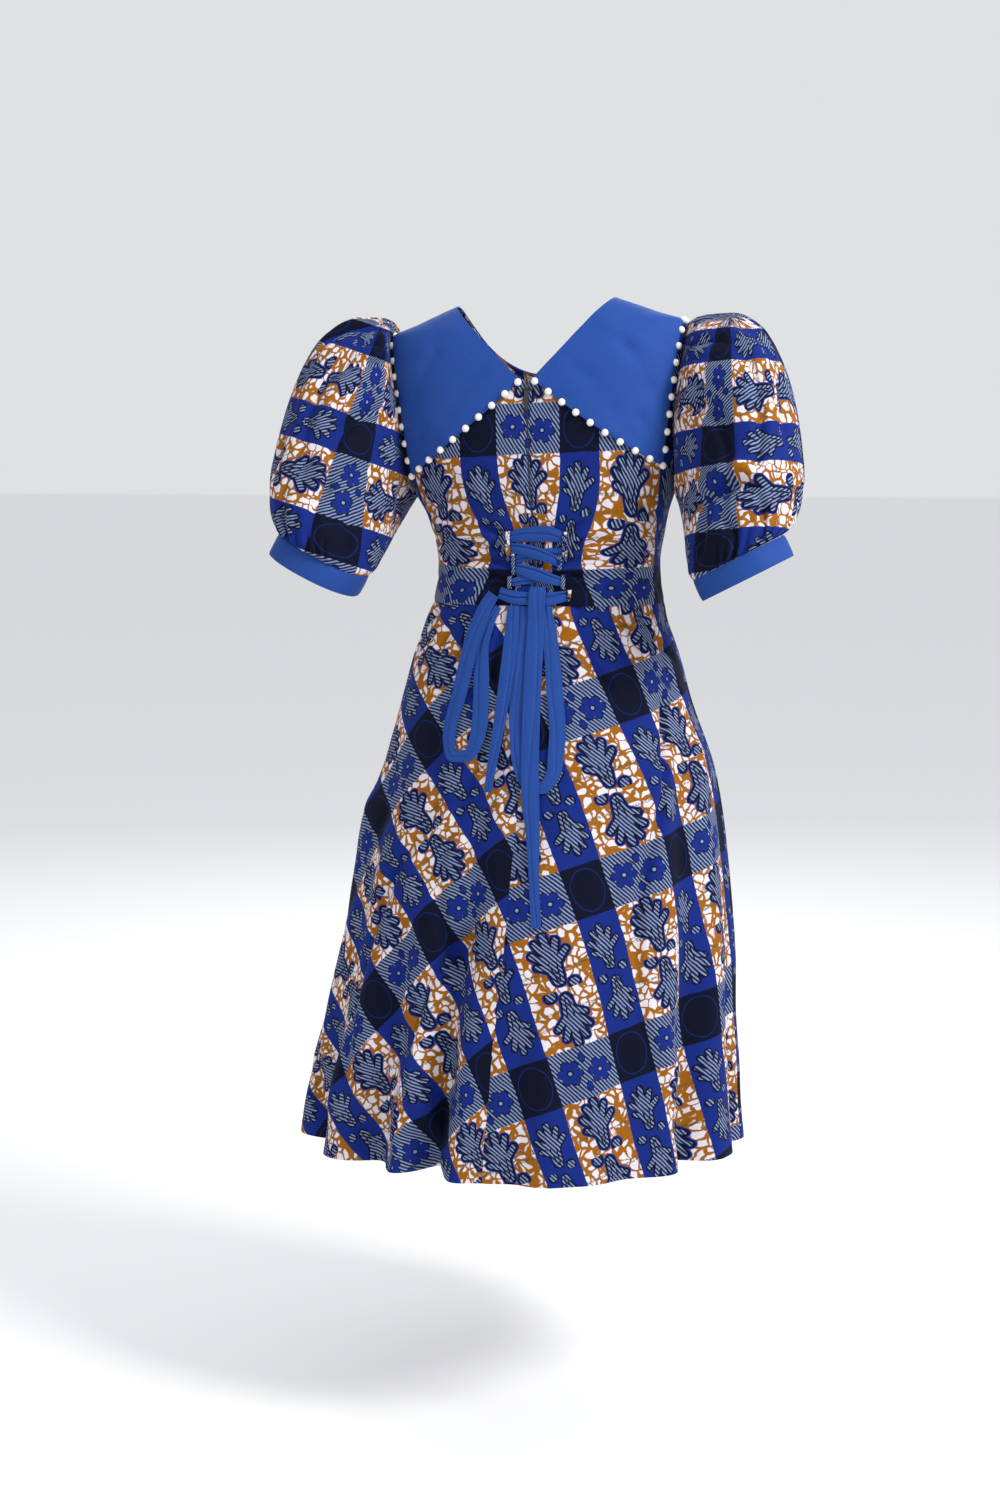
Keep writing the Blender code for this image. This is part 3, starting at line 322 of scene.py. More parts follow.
# What a user would change in the print: the check's sizes in metres and its colours.
printLooks = {
    "columnPeriod": 0.129, "whiteColumn": 0.080,
    "rowPeriod": 0.212, "wideRow": 0.148,
    "white": (0.66, 0.63, 0.69, 1), "ochre": (0.280, 0.098, 0.005, 1), "olive": (0.08, 0.07, 0.02, 1),
    "royal": (0.0058, 0.0195, 0.175, 1), "navy": (0.0024, 0.0038, 0.0150, 1),
    "hatchPale": (0.210, 0.265, 0.420, 1), "hatchDark": (0.007, 0.013, 0.055, 1),
    # start and end of each finger across and along from the cell's middle, and the two radii
    "sprig": (
        ((0.000, 0.0120), (0.000, 0.0330), 0.0056, 0.0088),
        ((0.000, 0.0380), (0.0010, 0.0690), 0.0044, 0.0034),
        ((-0.002, 0.0380), (-0.0105, 0.0625), 0.0038, 0.0031),
        ((0.002, 0.0380), (0.0130, 0.0610), 0.0038, 0.0031),
        ((-0.002, 0.0320), (-0.0185, 0.0500), 0.0038, 0.0030),
        ((0.002, 0.0320), (0.0200, 0.0470), 0.0038, 0.0030),
        ((-0.002, 0.0260), (-0.0175, 0.0345), 0.0036, 0.0028),
    ),
    "dot": (0.0160, 0.0050, 0.0056),
    "soft": 0.0006, "wobble": 0.0022, "blueSprig": 0.86, "royalOutline": 0.0040, "navyOutline": 0.0023,
    # half the hatch's step, half its dark line, and its lean across and along
    "hatch": (0.00195, 0.0008, 0.86, 0.5),
    "crackleScale": 92.0, "crackleSpread": 0.012, "dashesAt": 0.0255, "dashHalf": 0.0015,
    "flowerAt": 0.0185, "petal": 0.0080, "petalFoot": 0.0072, "seed": 0.0052, "eye": 0.0030,
    "oval": (0.0195, 0.0265),
}


# The print. The cloth's flat place in metres is folded into one cell of a check of wide and narrow
# columns and rows. Each cell then draws its own motif from distances: fingers, dots, rings and lobes.
def printGroup(finger):
    looks = printLooks
    group, given, result = newGroup("wax print", [
        ("Cut", "NodeSocketVector", None),
        ("White", "NodeSocketColor", looks["white"]), ("Ochre", "NodeSocketColor", looks["ochre"]),
        ("Royal", "NodeSocketColor", looks["royal"]), ("Navy", "NodeSocketColor", looks["navy"]),
        ("Hatch pale", "NodeSocketColor", looks["hatchPale"]),
        ("Hatch dark", "NodeSocketColor", looks["hatchDark"]),
        ("Olive", "NodeSocketColor", looks["olive"])], [("Colour", "NodeSocketColor")])

    soft = looks["soft"]

    def do(operation, *values, clamp=False):
        return calc(group, operation, *values, clamp=clamp)

    cut = given["Cut"]
    wobble = do("MULTIPLY_ADD", noiseAt(group, cut, 60.0), looks["wobble"],
                -looks["wobble"] / 2)
    parts = group.nodes.new("ShaderNodeSeparateXYZ")
    feed(group, cut, parts.inputs[0])
    u, v = do("ADD", parts.outputs[0], wobble), do("ADD", parts.outputs[1], wobble)

    # Fold: the distance from the nearest wide middle, and from the nearest narrow middle.
    def folded(value, period):
        near = do("SUBTRACT", do("FLOORED_MODULO", do("ADD", value, period / 2), period), period / 2)
        other = do("SUBTRACT", near, do("MULTIPLY", do("SIGN", near), period / 2))
        return near, other

    nearU, otherU = folded(u, looks["columnPeriod"])
    nearV, otherV = folded(v, looks["rowPeriod"])
    white = stepAt(group, do("ABSOLUTE", nearU), looks["whiteColumn"] / 2, -soft)
    teeth = do("MULTIPLY", do("PINGPONG", u, 0.0022), 0.55)
    wide = stepAt(group, do("ADD", do("ABSOLUTE", nearV), teeth), looks["wideRow"] / 2 + 0.0006, -soft)

    def pick(mask, first, second):
        return do("ADD", do("MULTIPLY", mask, first), do("MULTIPLY", do("SUBTRACT", 1.0, mask), second))

    a = pick(white, nearU, otherU)
    size = do("MULTIPLY_ADD", white, 1.0 - looks["blueSprig"], looks["blueSprig"])
    turnedA = do("DIVIDE", do("MULTIPLY", a, do("SIGN", nearV)), size)
    b = do("DIVIDE", do("ABSOLUTE", nearV), size)
    leaning = do("ADD", turnedA, do("MULTIPLY", b, 0.05))
    point = joinXY(group, leaning, b)

    distances = []
    for start, end, startRadius, endRadius in looks["sprig"]:
        distances.append(useGroup(group, finger, Point=point, Start=(*start, 0), End=(*end, 0),
                                  Start_radius=startRadius, End_radius=endRadius)["Distance"])
    sprig = distances[0]
    for other in distances[1:]:
        sprig = do("SMOOTH_MIN", sprig, other, 0.0016)
    dotX, dotY, dotRadius = looks["dot"]
    dot = do("SUBTRACT", vectorCalc(group, "LENGTH", vectorCalc(
        group, "SUBTRACT", joinXY(group, turnedA, b), (dotX, dotY, 0))), dotRadius)
    motif = do("MINIMUM", sprig, dot)

    # Hatch: fine slanting lines, as a folded ramp across them.
    step, line, leanU, leanV = looks["hatch"]
    slant = do("MULTIPLY_ADD", u, leanU, do("MULTIPLY", v, leanV))
    hatch = blendColours(group, stepAt(group, do("PINGPONG", slant, step), line, soft),
                         given["Hatch pale"], given["Hatch dark"])

    # Crackle: the distance to the nearest wall between random cells, cut at an uneven height.
    spread = vectorCalc(group, "ADD", cut, scaled(group, joinXY(
        group, noiseAt(group, cut, 70.0), noiseAt(group, cut, 55.0)), looks["crackleSpread"]))
    cells = group.nodes.new("ShaderNodeTexVoronoi")
    cells.feature = "DISTANCE_TO_EDGE"
    feed(group, spread, cells.inputs["Vector"])
    cells.inputs["Scale"].default_value = looks["crackleScale"]
    vein = do("MULTIPLY_ADD", noiseAt(group, cut, 34.0), 0.46, -0.10)
    crackle = stepAt(group, cells.outputs["Distance"], vein, 0.05)
    ground = blendColours(group, crackle, given["Ochre"], given["White"])
    thirds = do("ABSOLUTE", do("SUBTRACT", do("ABSOLUTE", nearV), looks["dashesAt"]))
    dashes = do("MULTIPLY", stepAt(group, thirds, looks["dashHalf"], -0.0014),
               stepAt(group, noiseAt(group, cut, 420.0), 0.47, 0.12))
    ground = blendColours(group, do("MULTIPLY", dashes, 0.8), ground, given["Olive"])
    ground = blendColours(group, white, given["Royal"], ground)
    ground = blendColours(group, stepAt(group, motif, looks["royalOutline"], -0.0010), ground, given["Royal"])
    ground = blendColours(group, stepAt(group, motif, looks["navyOutline"], -0.0007), ground, given["Navy"])
    ground = blendColours(group, stepAt(group, motif, 0.0000, -soft), ground, hatch)

    # A drop and an arrow inside the foot of each sprig.
    foot = distances[0]
    drops = do("ABSOLUTE", do("ADD", foot, 0.0042))
    arrow = do("ABSOLUTE", do("SUBTRACT", do("SUBTRACT", b, 0.0200),
                            do("MULTIPLY", do("ABSOLUTE", leaning), 1.3)))
    marks = do("MINIMUM", drops, do("ADD", arrow, stepAt(group, foot, -0.0046, 0.0004)))
    inFoot = do("MULTIPLY", stepAt(group, marks, 0.00085, -0.0005), stepAt(group, b, 0.036, -0.003))
    ground = blendColours(group, do("MULTIPLY", inFoot, stepAt(group, foot, -0.001, -soft)),
                          ground, given["Navy"])

    # Narrow rows: two lobed flowers on hatch, or a thin ring on navy.
    flower = joinXY(group, do("SUBTRACT", do("ABSOLUTE", nearU), looks["flowerAt"]),
                    do("MULTIPLY_ADD", otherV, do("SIGN", nearU), 0.0030))
    spokes = group.nodes.new("ShaderNodeSeparateXYZ")
    feed(group, flower, spokes.inputs[0])
    around = do("ARCTAN2", spokes.outputs[1], spokes.outputs[0])
    radius = vectorCalc(group, "LENGTH", flower)
    lobes = do("POWER", do("ABSOLUTE", do("COSINE", do("MULTIPLY_ADD", around, 3.0, 0.5))), 0.45)
    petals = do("SUBTRACT", radius, do("MULTIPLY_ADD", lobes, looks["petal"], looks["petalFoot"]))
    seed = vectorCalc(group, "LENGTH", joinXY(
        group, do("MULTIPLY", nearU, 1.5), do("SUBTRACT", do("ABSOLUTE", otherV), looks["flowerAt"])))
    blue = do("MINIMUM", petals, do("SUBTRACT", seed, looks["seed"]))
    narrow = blendColours(group, stepAt(group, blue, 0.0014, -0.0007), hatch, given["Navy"])
    narrow = blendColours(group, stepAt(group, blue, 0.0000, -soft), narrow, given["Royal"])
    eye = do("ABSOLUTE", do("SUBTRACT", radius, looks["eye"]))
    narrow = blendColours(group, stepAt(group, eye, 0.0009, -soft), narrow, given["Navy"])
    narrow = blendColours(group, stepAt(group, radius, 0.0021, -soft), narrow, given["Hatch pale"])
    oval = vectorCalc(group, "LENGTH", joinXY(
        group, do("DIVIDE", otherU, looks["oval"][0]), do("DIVIDE", otherV, looks["oval"][1])))
    ring = stepAt(group, do("ABSOLUTE", do("SUBTRACT", oval, 1.0)), 0.030, -0.03)
    dark = blendColours(group, do("MULTIPLY", ring, 0.55), given["Navy"], given["Royal"])
    narrow = blendColours(group, white, dark, narrow)
    feed(group, blendColours(group, wide, narrow, ground), result["Colour"])
    return group


fingerNodes = fingerGroup()
weaveNodes = weaveGroup()
printNodes = printGroup(fingerNodes)


# Materials.

clothLooks = {
    "printRoughness": 0.78,
    "blue": (0.017, 0.059, 0.262, 1),
    "collarBlue": (0.018, 0.064, 0.285, 1),
    "blueRoughness": 0.62,
    "sheen": 0.02,
    "specular": 0.08,
    "printSlub": 0.5, "blueSlub": 0.8, "bump": 0.5,
}
hardLooks = {
    "tape": (0.012, 0.014, 0.024, 1),
    "teeth": (0.03, 0.034, 0.045, 1),
    "metal": (0.05, 0.06, 0.053, 1),
    "pearl": (0.86, 0.82, 0.74, 1),
}


def newMaterial(name, **values):
    material = bpy.data.materials.new(name)
    material.use_nodes = True
    tree = material.node_tree
    shader = next(node for node in tree.nodes if node.type == "BSDF_PRINCIPLED")
    for label, value in values.items():
        shader.inputs[label.replace("_", " ")].default_value = value
    return material, tree, shader


# Woven cotton: a plain colour or, where none is given, the print, tinted and raised by the weave.
def clothMaterial(name, roughness, slub, colour=None):
    looks = clothLooks
    material, tree, shader = newMaterial(name, Roughness=roughness, Sheen_Weight=looks["sheen"],
                                         Specular_IOR_Level=looks["specular"])
    flat = tree.nodes.new("ShaderNodeUVMap")
    flat.uv_map = "cut"
    if colour is None:
        colour = useGroup(tree, printNodes, Cut=flat.outputs[0])["Colour"]
    weave = useGroup(tree, weaveNodes, Vector=flat.outputs[0], Slub=slub)
    feed(tree, blendColours(tree, 1.0, colour, weave["Tint"], "MULTIPLY"), shader.inputs["Base Color"])
    bump = tree.nodes.new("ShaderNodeBump")
    bump.inputs["Strength"].default_value = looks["bump"]
    bump.inputs["Distance"].default_value = 1.0
    feed(tree, weave["Height"], bump.inputs["Height"])
    feed(tree, bump.outputs[0], shader.inputs["Normal"])
    return material


def hardMaterial(name, colour, roughness, metallic=0.0, coat=0.0):
    return newMaterial(name, Base_Color=colour, Roughness=roughness, Metallic=metallic,
                       Coat_Weight=coat)[0]


printCotton = clothMaterial("print cotton", clothLooks["printRoughness"], clothLooks["printSlub"])
plainCotton = clothMaterial("plain cotton", clothLooks["blueRoughness"], clothLooks["blueSlub"],
                            clothLooks["blue"])
collarCotton = clothMaterial("collar cotton", clothLooks["blueRoughness"], clothLooks["blueSlub"],
                             clothLooks["collarBlue"])
tapeCloth = hardMaterial("zip tape", hardLooks["tape"], 0.8)
toothPlastic = hardMaterial("zip teeth", hardLooks["teeth"], 0.45)
zipMetal = hardMaterial("zip metal", hardLooks["metal"], 0.38, metallic=0.7)
pearl = hardMaterial("pearl", hardLooks["pearl"], 0.22, coat=0.6)
print("materials ready")


# The body's formulas, shared by the bodice, collar and sleeves.

bodyShape = {
    "waist": -0.374, "vBottom": -0.100, "frontNeck": -0.085, "tip": -0.034, "pit": -0.238,
    "power": 2.4, "armholeDip": 28.0, "neckHalf": 0.100, "lean": 0.0436, "leanFrom": -0.33, "leanFull": -0.20,
    "middle": (0.0, -0.020, -0.300),
    # z, half width, depth behind, depth in front, the ring's centre towards the back
    "torso": (
        (0, 0.1, 0.036, 0.04, -0.01), (-0.01, 0.126, 0.048, 0.05, -0.011),
        (-0.02, 0.151, 0.058, 0.06, -0.012), (-0.034, 0.186, 0.068, 0.07, -0.014),
        (-0.05, 0.19, 0.078, 0.078, -0.016), (-0.08, 0.192, 0.09, 0.09, -0.018),
        (-0.12, 0.19, 0.1, 0.102, -0.02), (-0.16, 0.186, 0.106, 0.114, -0.02),
        (-0.2, 0.178, 0.108, 0.123, -0.02), (-0.238, 0.164, 0.106, 0.124, -0.02),
        (-0.263, 0.154, 0.102, 0.12, -0.02), (-0.284, 0.149, 0.098, 0.114, -0.02),
        (-0.322, 0.1425, 0.095, 0.105, -0.02), (-0.35, 0.144, 0.099, 0.107, -0.02),
        (-0.374, 0.148, 0.105, 0.112, -0.02)),
}


# Point of the torso: a rounded square ring at each height, sheared so that the upper body leans.
def torsoPoint(angle, z):
    shape = bodyShape
    across, along = ringShape(angle, shape["power"])
    depth = np.where(along > 0, curveThrough(shape["torso"], 2, z), curveThrough(shape["torso"], 3, z))
    x = curveThrough(shape["torso"], 1, z) * across
    y = curveThrough(shape["torso"], 4, z) + depth * along
    lean = shape["lean"] * smoothStep(z, shape["leanFrom"], shape["leanFull"])
    return np.stack([x + lean * (z - shape["leanFrom"]), y, z - lean * x], -1)


# The angle whose ring point lies a given share of the half width across, read from a table.
def angleOf(share):
    angles = np.linspace(0.0, math.pi / 2, 400)
    return np.interp(np.clip(share, 0.0, 1.0), ringShape(angles, bodyShape["power"])[0], angles)


def halfWidth(z):
    return curveThrough(bodyShape["torso"], 1, z)


# Length round the torso from the centre back to an angle, as a sum of 24 short chords.
def girthTo(angle, z):
    share = np.linspace(0.0, 1.0, 25).reshape((25,) + (1,) * np.ndim(angle))
    points = torsoPoint(share * angle, z + 0.0 * share * angle)
    return np.linalg.norm(np.diff(points, axis=0), axis=-1).sum(0) * np.sign(angle)


# Spaces the points of a curve evenly along its length.
def evenPlaces(place, low, high, count):
    t = np.linspace(low, high, 400)
    points = torsoPoint(*place(t))
    length = runLength(points)
    return np.stack(place(np.interp(np.linspace(0.0, length[-1], count + 1), length, t)), -1)


# Coons patch: the sum of both ruled surfaces between four edges, less the one through the corners.
def fillEdges(bottom, top, start, end):
    v = np.linspace(0.0, 1.0, len(start))[:, None, None]
    u = np.linspace(0.0, 1.0, len(bottom))[None, :, None]
    ruled = (1 - v) * bottom[None] + v * top[None] + (1 - u) * start[:, None] + u * end[:, None]
    corners = ((1 - u) * (1 - v) * bottom[0] + u * (1 - v) * bottom[-1]
               + (1 - u) * v * top[0] + u * v * top[-1])
    return ruled - corners


# Straight neckline edge from the bottom of the V to the neck point.
def neckPlace(share, low, halfLow):
    z = low * (1 - share)
    return angleOf((halfLow + (bodyShape["neckHalf"] - halfLow) * share) / halfWidth(z)), z


# Round front neckline, as an oval with its powers eased.
def frontNeckPlace(share):
    turn = share * math.pi / 2
    z = bodyShape["frontNeck"] * np.cos(turn) ** 1.3
    return angleOf(bodyShape["neckHalf"] * np.sin(turn) ** 0.9 / halfWidth(z)), z


# Armhole: 0 at the shoulder tip and pi at the underarm, cutting in at the middle by a square root.
def armholePlace(turn):
    share = (1.0 + np.cos(turn)) / 2.0
    z = bodyShape["pit"] + (bodyShape["tip"] - bodyShape["pit"]) * share
    return math.pi / 2 - math.radians(bodyShape["armholeDip"]) * np.sqrt(
        np.abs(np.sin(math.pi * share))), z


def shoulderPlace(share):
    return math.pi / 2 + 0.0 * share, bodyShape["tip"] * share


# Bodice.

bodiceLooks = {
    "wall": 0.0010, "slot": 0.0009, "columns": 84,
    "rows": (60, 34, 46, 48),
    "pinch": 0.95, "pinchWidth": 0.075, "pinchHeight": -0.318, "pinchReach": 0.062,
    "sag": 0.30, "sagReach": 0.08, "dropStretch": 1.02, "backCreaseScale": 2.6, "frontCreaseScale": 2.0,
    "dapple": 0.0005, "alongOffset": -0.0520,
    # each crease: girth and height of both ends, width and height, all in metres
    "backCreases": (
        (0.03, -0.296, 0.115, -0.262, 0.0045, -0.0022), (0.028, -0.31, 0.12, -0.3, 0.005, -0.0026),
        (0.03, -0.322, 0.118, -0.33, 0.005, -0.0024), (0.032, -0.338, 0.11, -0.358, 0.0045, -0.0024),
        (0.034, -0.303, 0.128, -0.28, 0.004, 0.0014), (0.034, -0.33, 0.125, -0.345, 0.004, 0.0014),
        (0.03, -0.352, 0.1, -0.368, 0.0035, -0.0018), (0.15, -0.252, 0.105, -0.225, 0.006, -0.0022),
        (0.165, -0.262, 0.12, -0.248, 0.005, -0.0016), (0.06, -0.205, 0.02, -0.275, 0.007, -0.0014),
        (0.1, -0.21, 0.045, -0.285, 0.006, -0.0014), (0.15, -0.3, 0.18, -0.29, 0.005, -0.0016),
        (0.14, -0.34, 0.185, -0.352, 0.005, -0.0016), (0.004, -0.29, 0.006, -0.362, 0.003, -0.0012)),
    "frontCreases": (
        (0.15, -0.25, 0.085, -0.215, 0.007, -0.0026), (0.16, -0.27, 0.1, -0.262, 0.006, -0.002),
        (0.15, -0.3, 0.08, -0.318, 0.006, -0.0016), (0.13, -0.35, 0.04, -0.362, 0.006, -0.0018),
        (0.145, -0.335, 0.07, -0.34, 0.005, -0.0012), (0.05, -0.37, 0.06, -0.255, 0.008, -0.0016),
        (0.12, -0.12, 0.09, -0.18, 0.008, -0.0014), (0.012, -0.19, 0.06, -0.215, 0.009, -0.0014)),
}


# Grid of angle and height of one half: centre to side, and waist to shoulder.
def halfGrid(neckAt, neckLow):
    looks, shape = bodiceLooks, bodyShape
    centreRows, neckRows, sideRows, armRows = looks["rows"]

    def centre(t):
        return 0.0 * t, shape["waist"] + (neckLow - shape["waist"]) * t

    def side(t):
        return math.pi / 2 + 0.0 * t, shape["waist"] + (shape["pit"] - shape["waist"]) * t

    start = np.concatenate([evenPlaces(centre, 0, 1, centreRows), evenPlaces(neckAt, 0, 1, neckRows)[1:]])
    end = np.concatenate([evenPlaces(side, 0, 1, sideRows),
                          evenPlaces(armholePlace, math.pi, 0.0, armRows)[1:]])
    angles = np.linspace(0.0, math.pi / 2, looks["columns"] + 1)
    bottom = np.stack([angles, 0.0 * angles + shape["waist"]], -1)
    return fillEdges(bottom, evenPlaces(shoulderPlace, 0, 1, looks["columns"]), start, end)


# A soft groove beside a seam.
def seamGroove(distance, depth=0.0009, width=0.0035):
    return -depth * np.exp(-(distance / width) ** 2)


# Flat place of a bodice point: girth across and drop along. Behind, the lacing draws the cloth in, so
# more of it lies near the centre: girth times 1 + pinch, fading away as a bell both ways.
def bodiceCut(girth, z, pinched):
    looks = bodiceLooks
    drawn = looks["pinch"] * np.exp(-((z - looks["pinchHeight"]) / looks["pinchReach"]) ** 2)
    across = girth * (1.0 + pinched * drawn * np.exp(-(girth / looks["pinchWidth"]) ** 2))
    sag = pinched * looks["sag"] * drawn * np.abs(girth) * (looks["pinchHeight"] - z) / looks["sagReach"]
    return np.stack([across, -looks["dropStretch"] * z + sag + looks["alongOffset"]], -1)


def backHalf(name, side):
    looks = bodiceLooks
    places = halfGrid(lambda t: neckPlace(t, bodyShape["vBottom"], 0.0), bodyShape["vBottom"])
    angle, z = places[..., 0], places[..., 1]
    points = torsoPoint(angle * side, z)
    girth = girthTo(angle, z)
    normal = gridNormals(points, bodyShape["middle"])
    relief = looks["backCreaseScale"] * creases(looks["backCreases"], girth, z, 1.0, 1.0)
    relief += seamGroove(girth) * (z < bodyShape["vBottom"]) + seamGroove(z - bodyShape["waist"])
    relief += seamGroove(girthTo(0 * angle + math.pi / 2, z) - girth)
    relief += looks["dapple"] * np.sin(girth * 95 + z * 60) * np.sin(z * 80 - girth * 40)
    outer = points + relief[..., None] * normal
    atCentre = places[:, 0, 0] < 1e-6
    outer[atCentre, 0, 0] += side * looks["slot"]
    cut = bodiceCut(girth * side, z, 1.0)
    return makeShell(name, [(outer, normal, cut)], looks["wall"], printCotton)


# The front as one piece: below the neckline both halves share the middle, above it they part.
def frontBodice():
    looks = bodiceLooks
    places = halfGrid(frontNeckPlace, bodyShape["frontNeck"])
    halves = []
    for side in (1, -1):
        angle, z = math.pi - places[..., 0], places[..., 1]
        points = torsoPoint(angle * side, z)
        girth = girthTo(places[..., 0], z)
        normal = gridNormals(points, bodyShape["middle"])
        shift = 0.006 if side > 0 else 0.0
        relief = looks["frontCreaseScale"] * creases(looks["frontCreases"], girth, z + shift, 1.0, 1.0)
        relief += seamGroove(z - bodyShape["waist"])
        relief += seamGroove(girthTo(0 * angle + math.pi / 2, z) - girth)
        cut = bodiceCut(-girth * side, z, 0.0)
        halves.append((points + relief[..., None] * normal, normal, cut))
    closed = looks["rows"][0] + 1
    lower = [np.concatenate([left[:closed, ::-1], right[:closed, 1:]], axis=1)
             for left, right in zip(*halves)]
    sheets = [lower] + [[part[closed - 1:] for part in half] for half in halves]
    return makeShell("front-bodice", sheets, looks["wall"], printCotton)


bodiceBackLeft = backHalf("back-bodice-left", 1)
bodiceBackRight = backHalf("back-bodice-right", -1)
bodiceFront = frontBodice()
print("bodice built")


# Skirt.

skirtLooks = {
    "hem": -1.072, "wall": 0.0010, "rows": 170, "softer": 0.3, "ripple": 0.0020, "creaseScale": 2.6,
    "middle": (0.0, -0.020, -0.7), "metresPerDegree": 0.0026,
    # z, half width, depth behind, depth in front, centre across, centre towards the back
    "envelope": (
        (-0.374, 0.148, 0.105, 0.112, 0, -0.02), (-0.4, 0.156, 0.112, 0.12, 0.003, -0.02),
        (-0.436, 0.169, 0.124, 0.132, 0.003, -0.02), (-0.5, 0.188, 0.146, 0.15, 0.002, -0.02),
        (-0.572, 0.214, 0.17, 0.172, 0, -0.02), (-0.63, 0.232, 0.187, 0.19, 0.004, -0.02),
        (-0.69, 0.245, 0.203, 0.206, 0.008, -0.02), (-0.77, 0.258, 0.221, 0.224, 0.012, -0.02),
        (-0.83, 0.267, 0.233, 0.236, 0.016, -0.02), (-0.91, 0.277, 0.247, 0.248, 0.024, -0.02),
        (-0.97, 0.285, 0.256, 0.256, 0.027, -0.02), (-1.03, 0.293, 0.263, 0.263, 0.032, -0.02),
        (-1.072, 0.298, 0.267, 0.267, 0.033, -0.02)),
    # angle at the waist and at the hem in degrees, depth at the hem, half width in degrees, upper end
    "folds": (
        (12, 16, 0.058, 5.5, -0.5), (28, 34, 0.036, 6, -0.52), (52, 59, 0.036, 7, -0.54),
        (76, 82, 0.026, 6, -0.5), (-2, -4, 0.014, 8, -0.6), (-30, -37, 0.02, 9, -0.48),
        (-60, -60, 0.046, 6, -0.43), (-82, -84, 0.022, 6, -0.5), (100, 104, 0.03, 8, -0.46),
        (124, 128, 0.026, 8, -0.52), (150, 154, 0.034, 8, -0.46), (176, 179, 0.026, 9, -0.54),
        (202, 204, 0.034, 8, -0.46), (228, 230, 0.026, 8, -0.52), (254, 252, 0.03, 8, -0.46)),
    # each panel: angles in degrees, columns, and how its flat sector lies on the print: the columns'
    # turn at angle 0, turn per degree round the body, waist radius, and offsets across and along
    "panels": {
        "back-skirt-left": (0.0, 90.0, 200, (34.0, 0.42, 0.303, -0.2385, -0.3065)),
        "back-skirt-right": (-90.0, 0.0, 200, (24.0, 0.20, 0.760, -0.2418, -0.8378)),
        "front-skirt": (90.0, 270.0, 224, (0.0, 0.3333, 0.385, 0.0, 0.0)),
    },
    # each crease: angle in degrees and height of both ends, width and height in metres
    "creases": (
        (8, -0.38, 14, -0.46, 0.005, -0.0026), (20, -0.38, 30, -0.44, 0.005, -0.0026),
        (34, -0.38, 44, -0.45, 0.006, -0.0024), (-8, -0.38, -12, -0.45, 0.005, -0.0022),
        (-22, -0.38, -32, -0.47, 0.006, -0.0026), (-38, -0.38, -52, -0.45, 0.006, -0.0022),
        (60, -0.382, 70, -0.47, 0.007, -0.0024), (-68, -0.382, -72, -0.48, 0.007, -0.0022),
        (22, -0.56, 30, -0.76, 0.012, 0.003), (5, -0.62, 6, -0.9, 0.013, 0.0028),
        (-16, -0.64, -20, -0.98, 0.014, 0.0026), (-48, -0.6, -50, -0.94, 0.014, 0.003),
        (45, -0.7, 47, -1, 0.013, 0.003), (68, -0.64, 70, -0.96, 0.014, 0.0028),
        (-74, -0.56, -73, -0.9, 0.012, 0.0026), (-26, -0.82, -27, -1.04, 0.011, -0.003),
        (-46, -0.386, -68, -0.48, 0.007, -0.0032), (-56, -0.382, -78, -0.44, 0.006, -0.0028),
        (-50, -0.396, -70, -0.5, 0.006, 0.002), (56, -0.386, 74, -0.42, 0.006, -0.0026),
        (12.2, -0.56, 14.6, -0.82, 0.006, -0.004), (14, -0.78, 16, -1.075, 0.007, -0.0062),
        (28.6, -0.62, 33.8, -1.075, 0.007, -0.0046), (53.5, -0.64, 58.8, -1.075, 0.008, -0.004),
        (-60, -0.5, -60, -1.075, 0.006, -0.0046), (10.2, -0.6, 12.6, -1.06, 0.007, 0.003),
        (26, -0.88, 27, -1.06, 0.011, -0.0034), (112, -0.38, 116, -0.52, 0.007, -0.0026),
        (138, -0.38, 142, -0.56, 0.008, -0.0028), (164, -0.38, 166, -0.54, 0.008, -0.0026),
        (190, -0.38, 192, -0.56, 0.008, -0.0026), (216, -0.38, 218, -0.54, 0.008, -0.0028),
        (242, -0.38, 244, -0.52, 0.007, -0.0026), (114, -0.64, 116, -1, 0.014, 0.003),
        (140, -0.6, 142, -1.02, 0.015, 0.003), (166, -0.66, 168, -1, 0.015, 0.003),
        (192, -0.62, 194, -1.02, 0.015, 0.003), (218, -0.64, 219, -1, 0.014, 0.003)),
}


# The skirt's hull: rounded square rings whose corners soften downwards.
def skirtHull(angle, z):
    rows = skirtLooks["envelope"]
    power = bodyShape["power"] - skirtLooks["softer"] * smoothStep(-z, -bodyShape["waist"], 0.7)
    across, along = ringShape(angle, power)
    depth = np.where(along > 0, curveThrough(rows, 2, z), curveThrough(rows, 3, z))
    x = curveThrough(rows, 4, z) + curveThrough(rows, 1, z) * across
    return np.stack([x, curveThrough(rows, 5, z) + depth * along, z + 0.0 * x], -1)


# How far the folds sink in: bells round slanting lines, deeper downwards by the power 0.9.
def foldDepth(angle, z):
    total = np.zeros(np.broadcast(angle, z).shape)
    for waistDeg, hemDeg, depth, spreadDeg, start in skirtLooks["folds"]:
        down = np.clip((start - z) / (start - skirtLooks["hem"]), 0.0, 1.0)
        middle = np.radians(waistDeg + (hemDeg - waistDeg) * down)
        away = (angle - middle + math.pi) % (2 * math.pi) - math.pi
        spread = math.radians(spreadDeg) * (1.5 - 0.5 * down)
        total += depth * down**0.9 * np.exp(-((away / spread) ** 2))
    return total


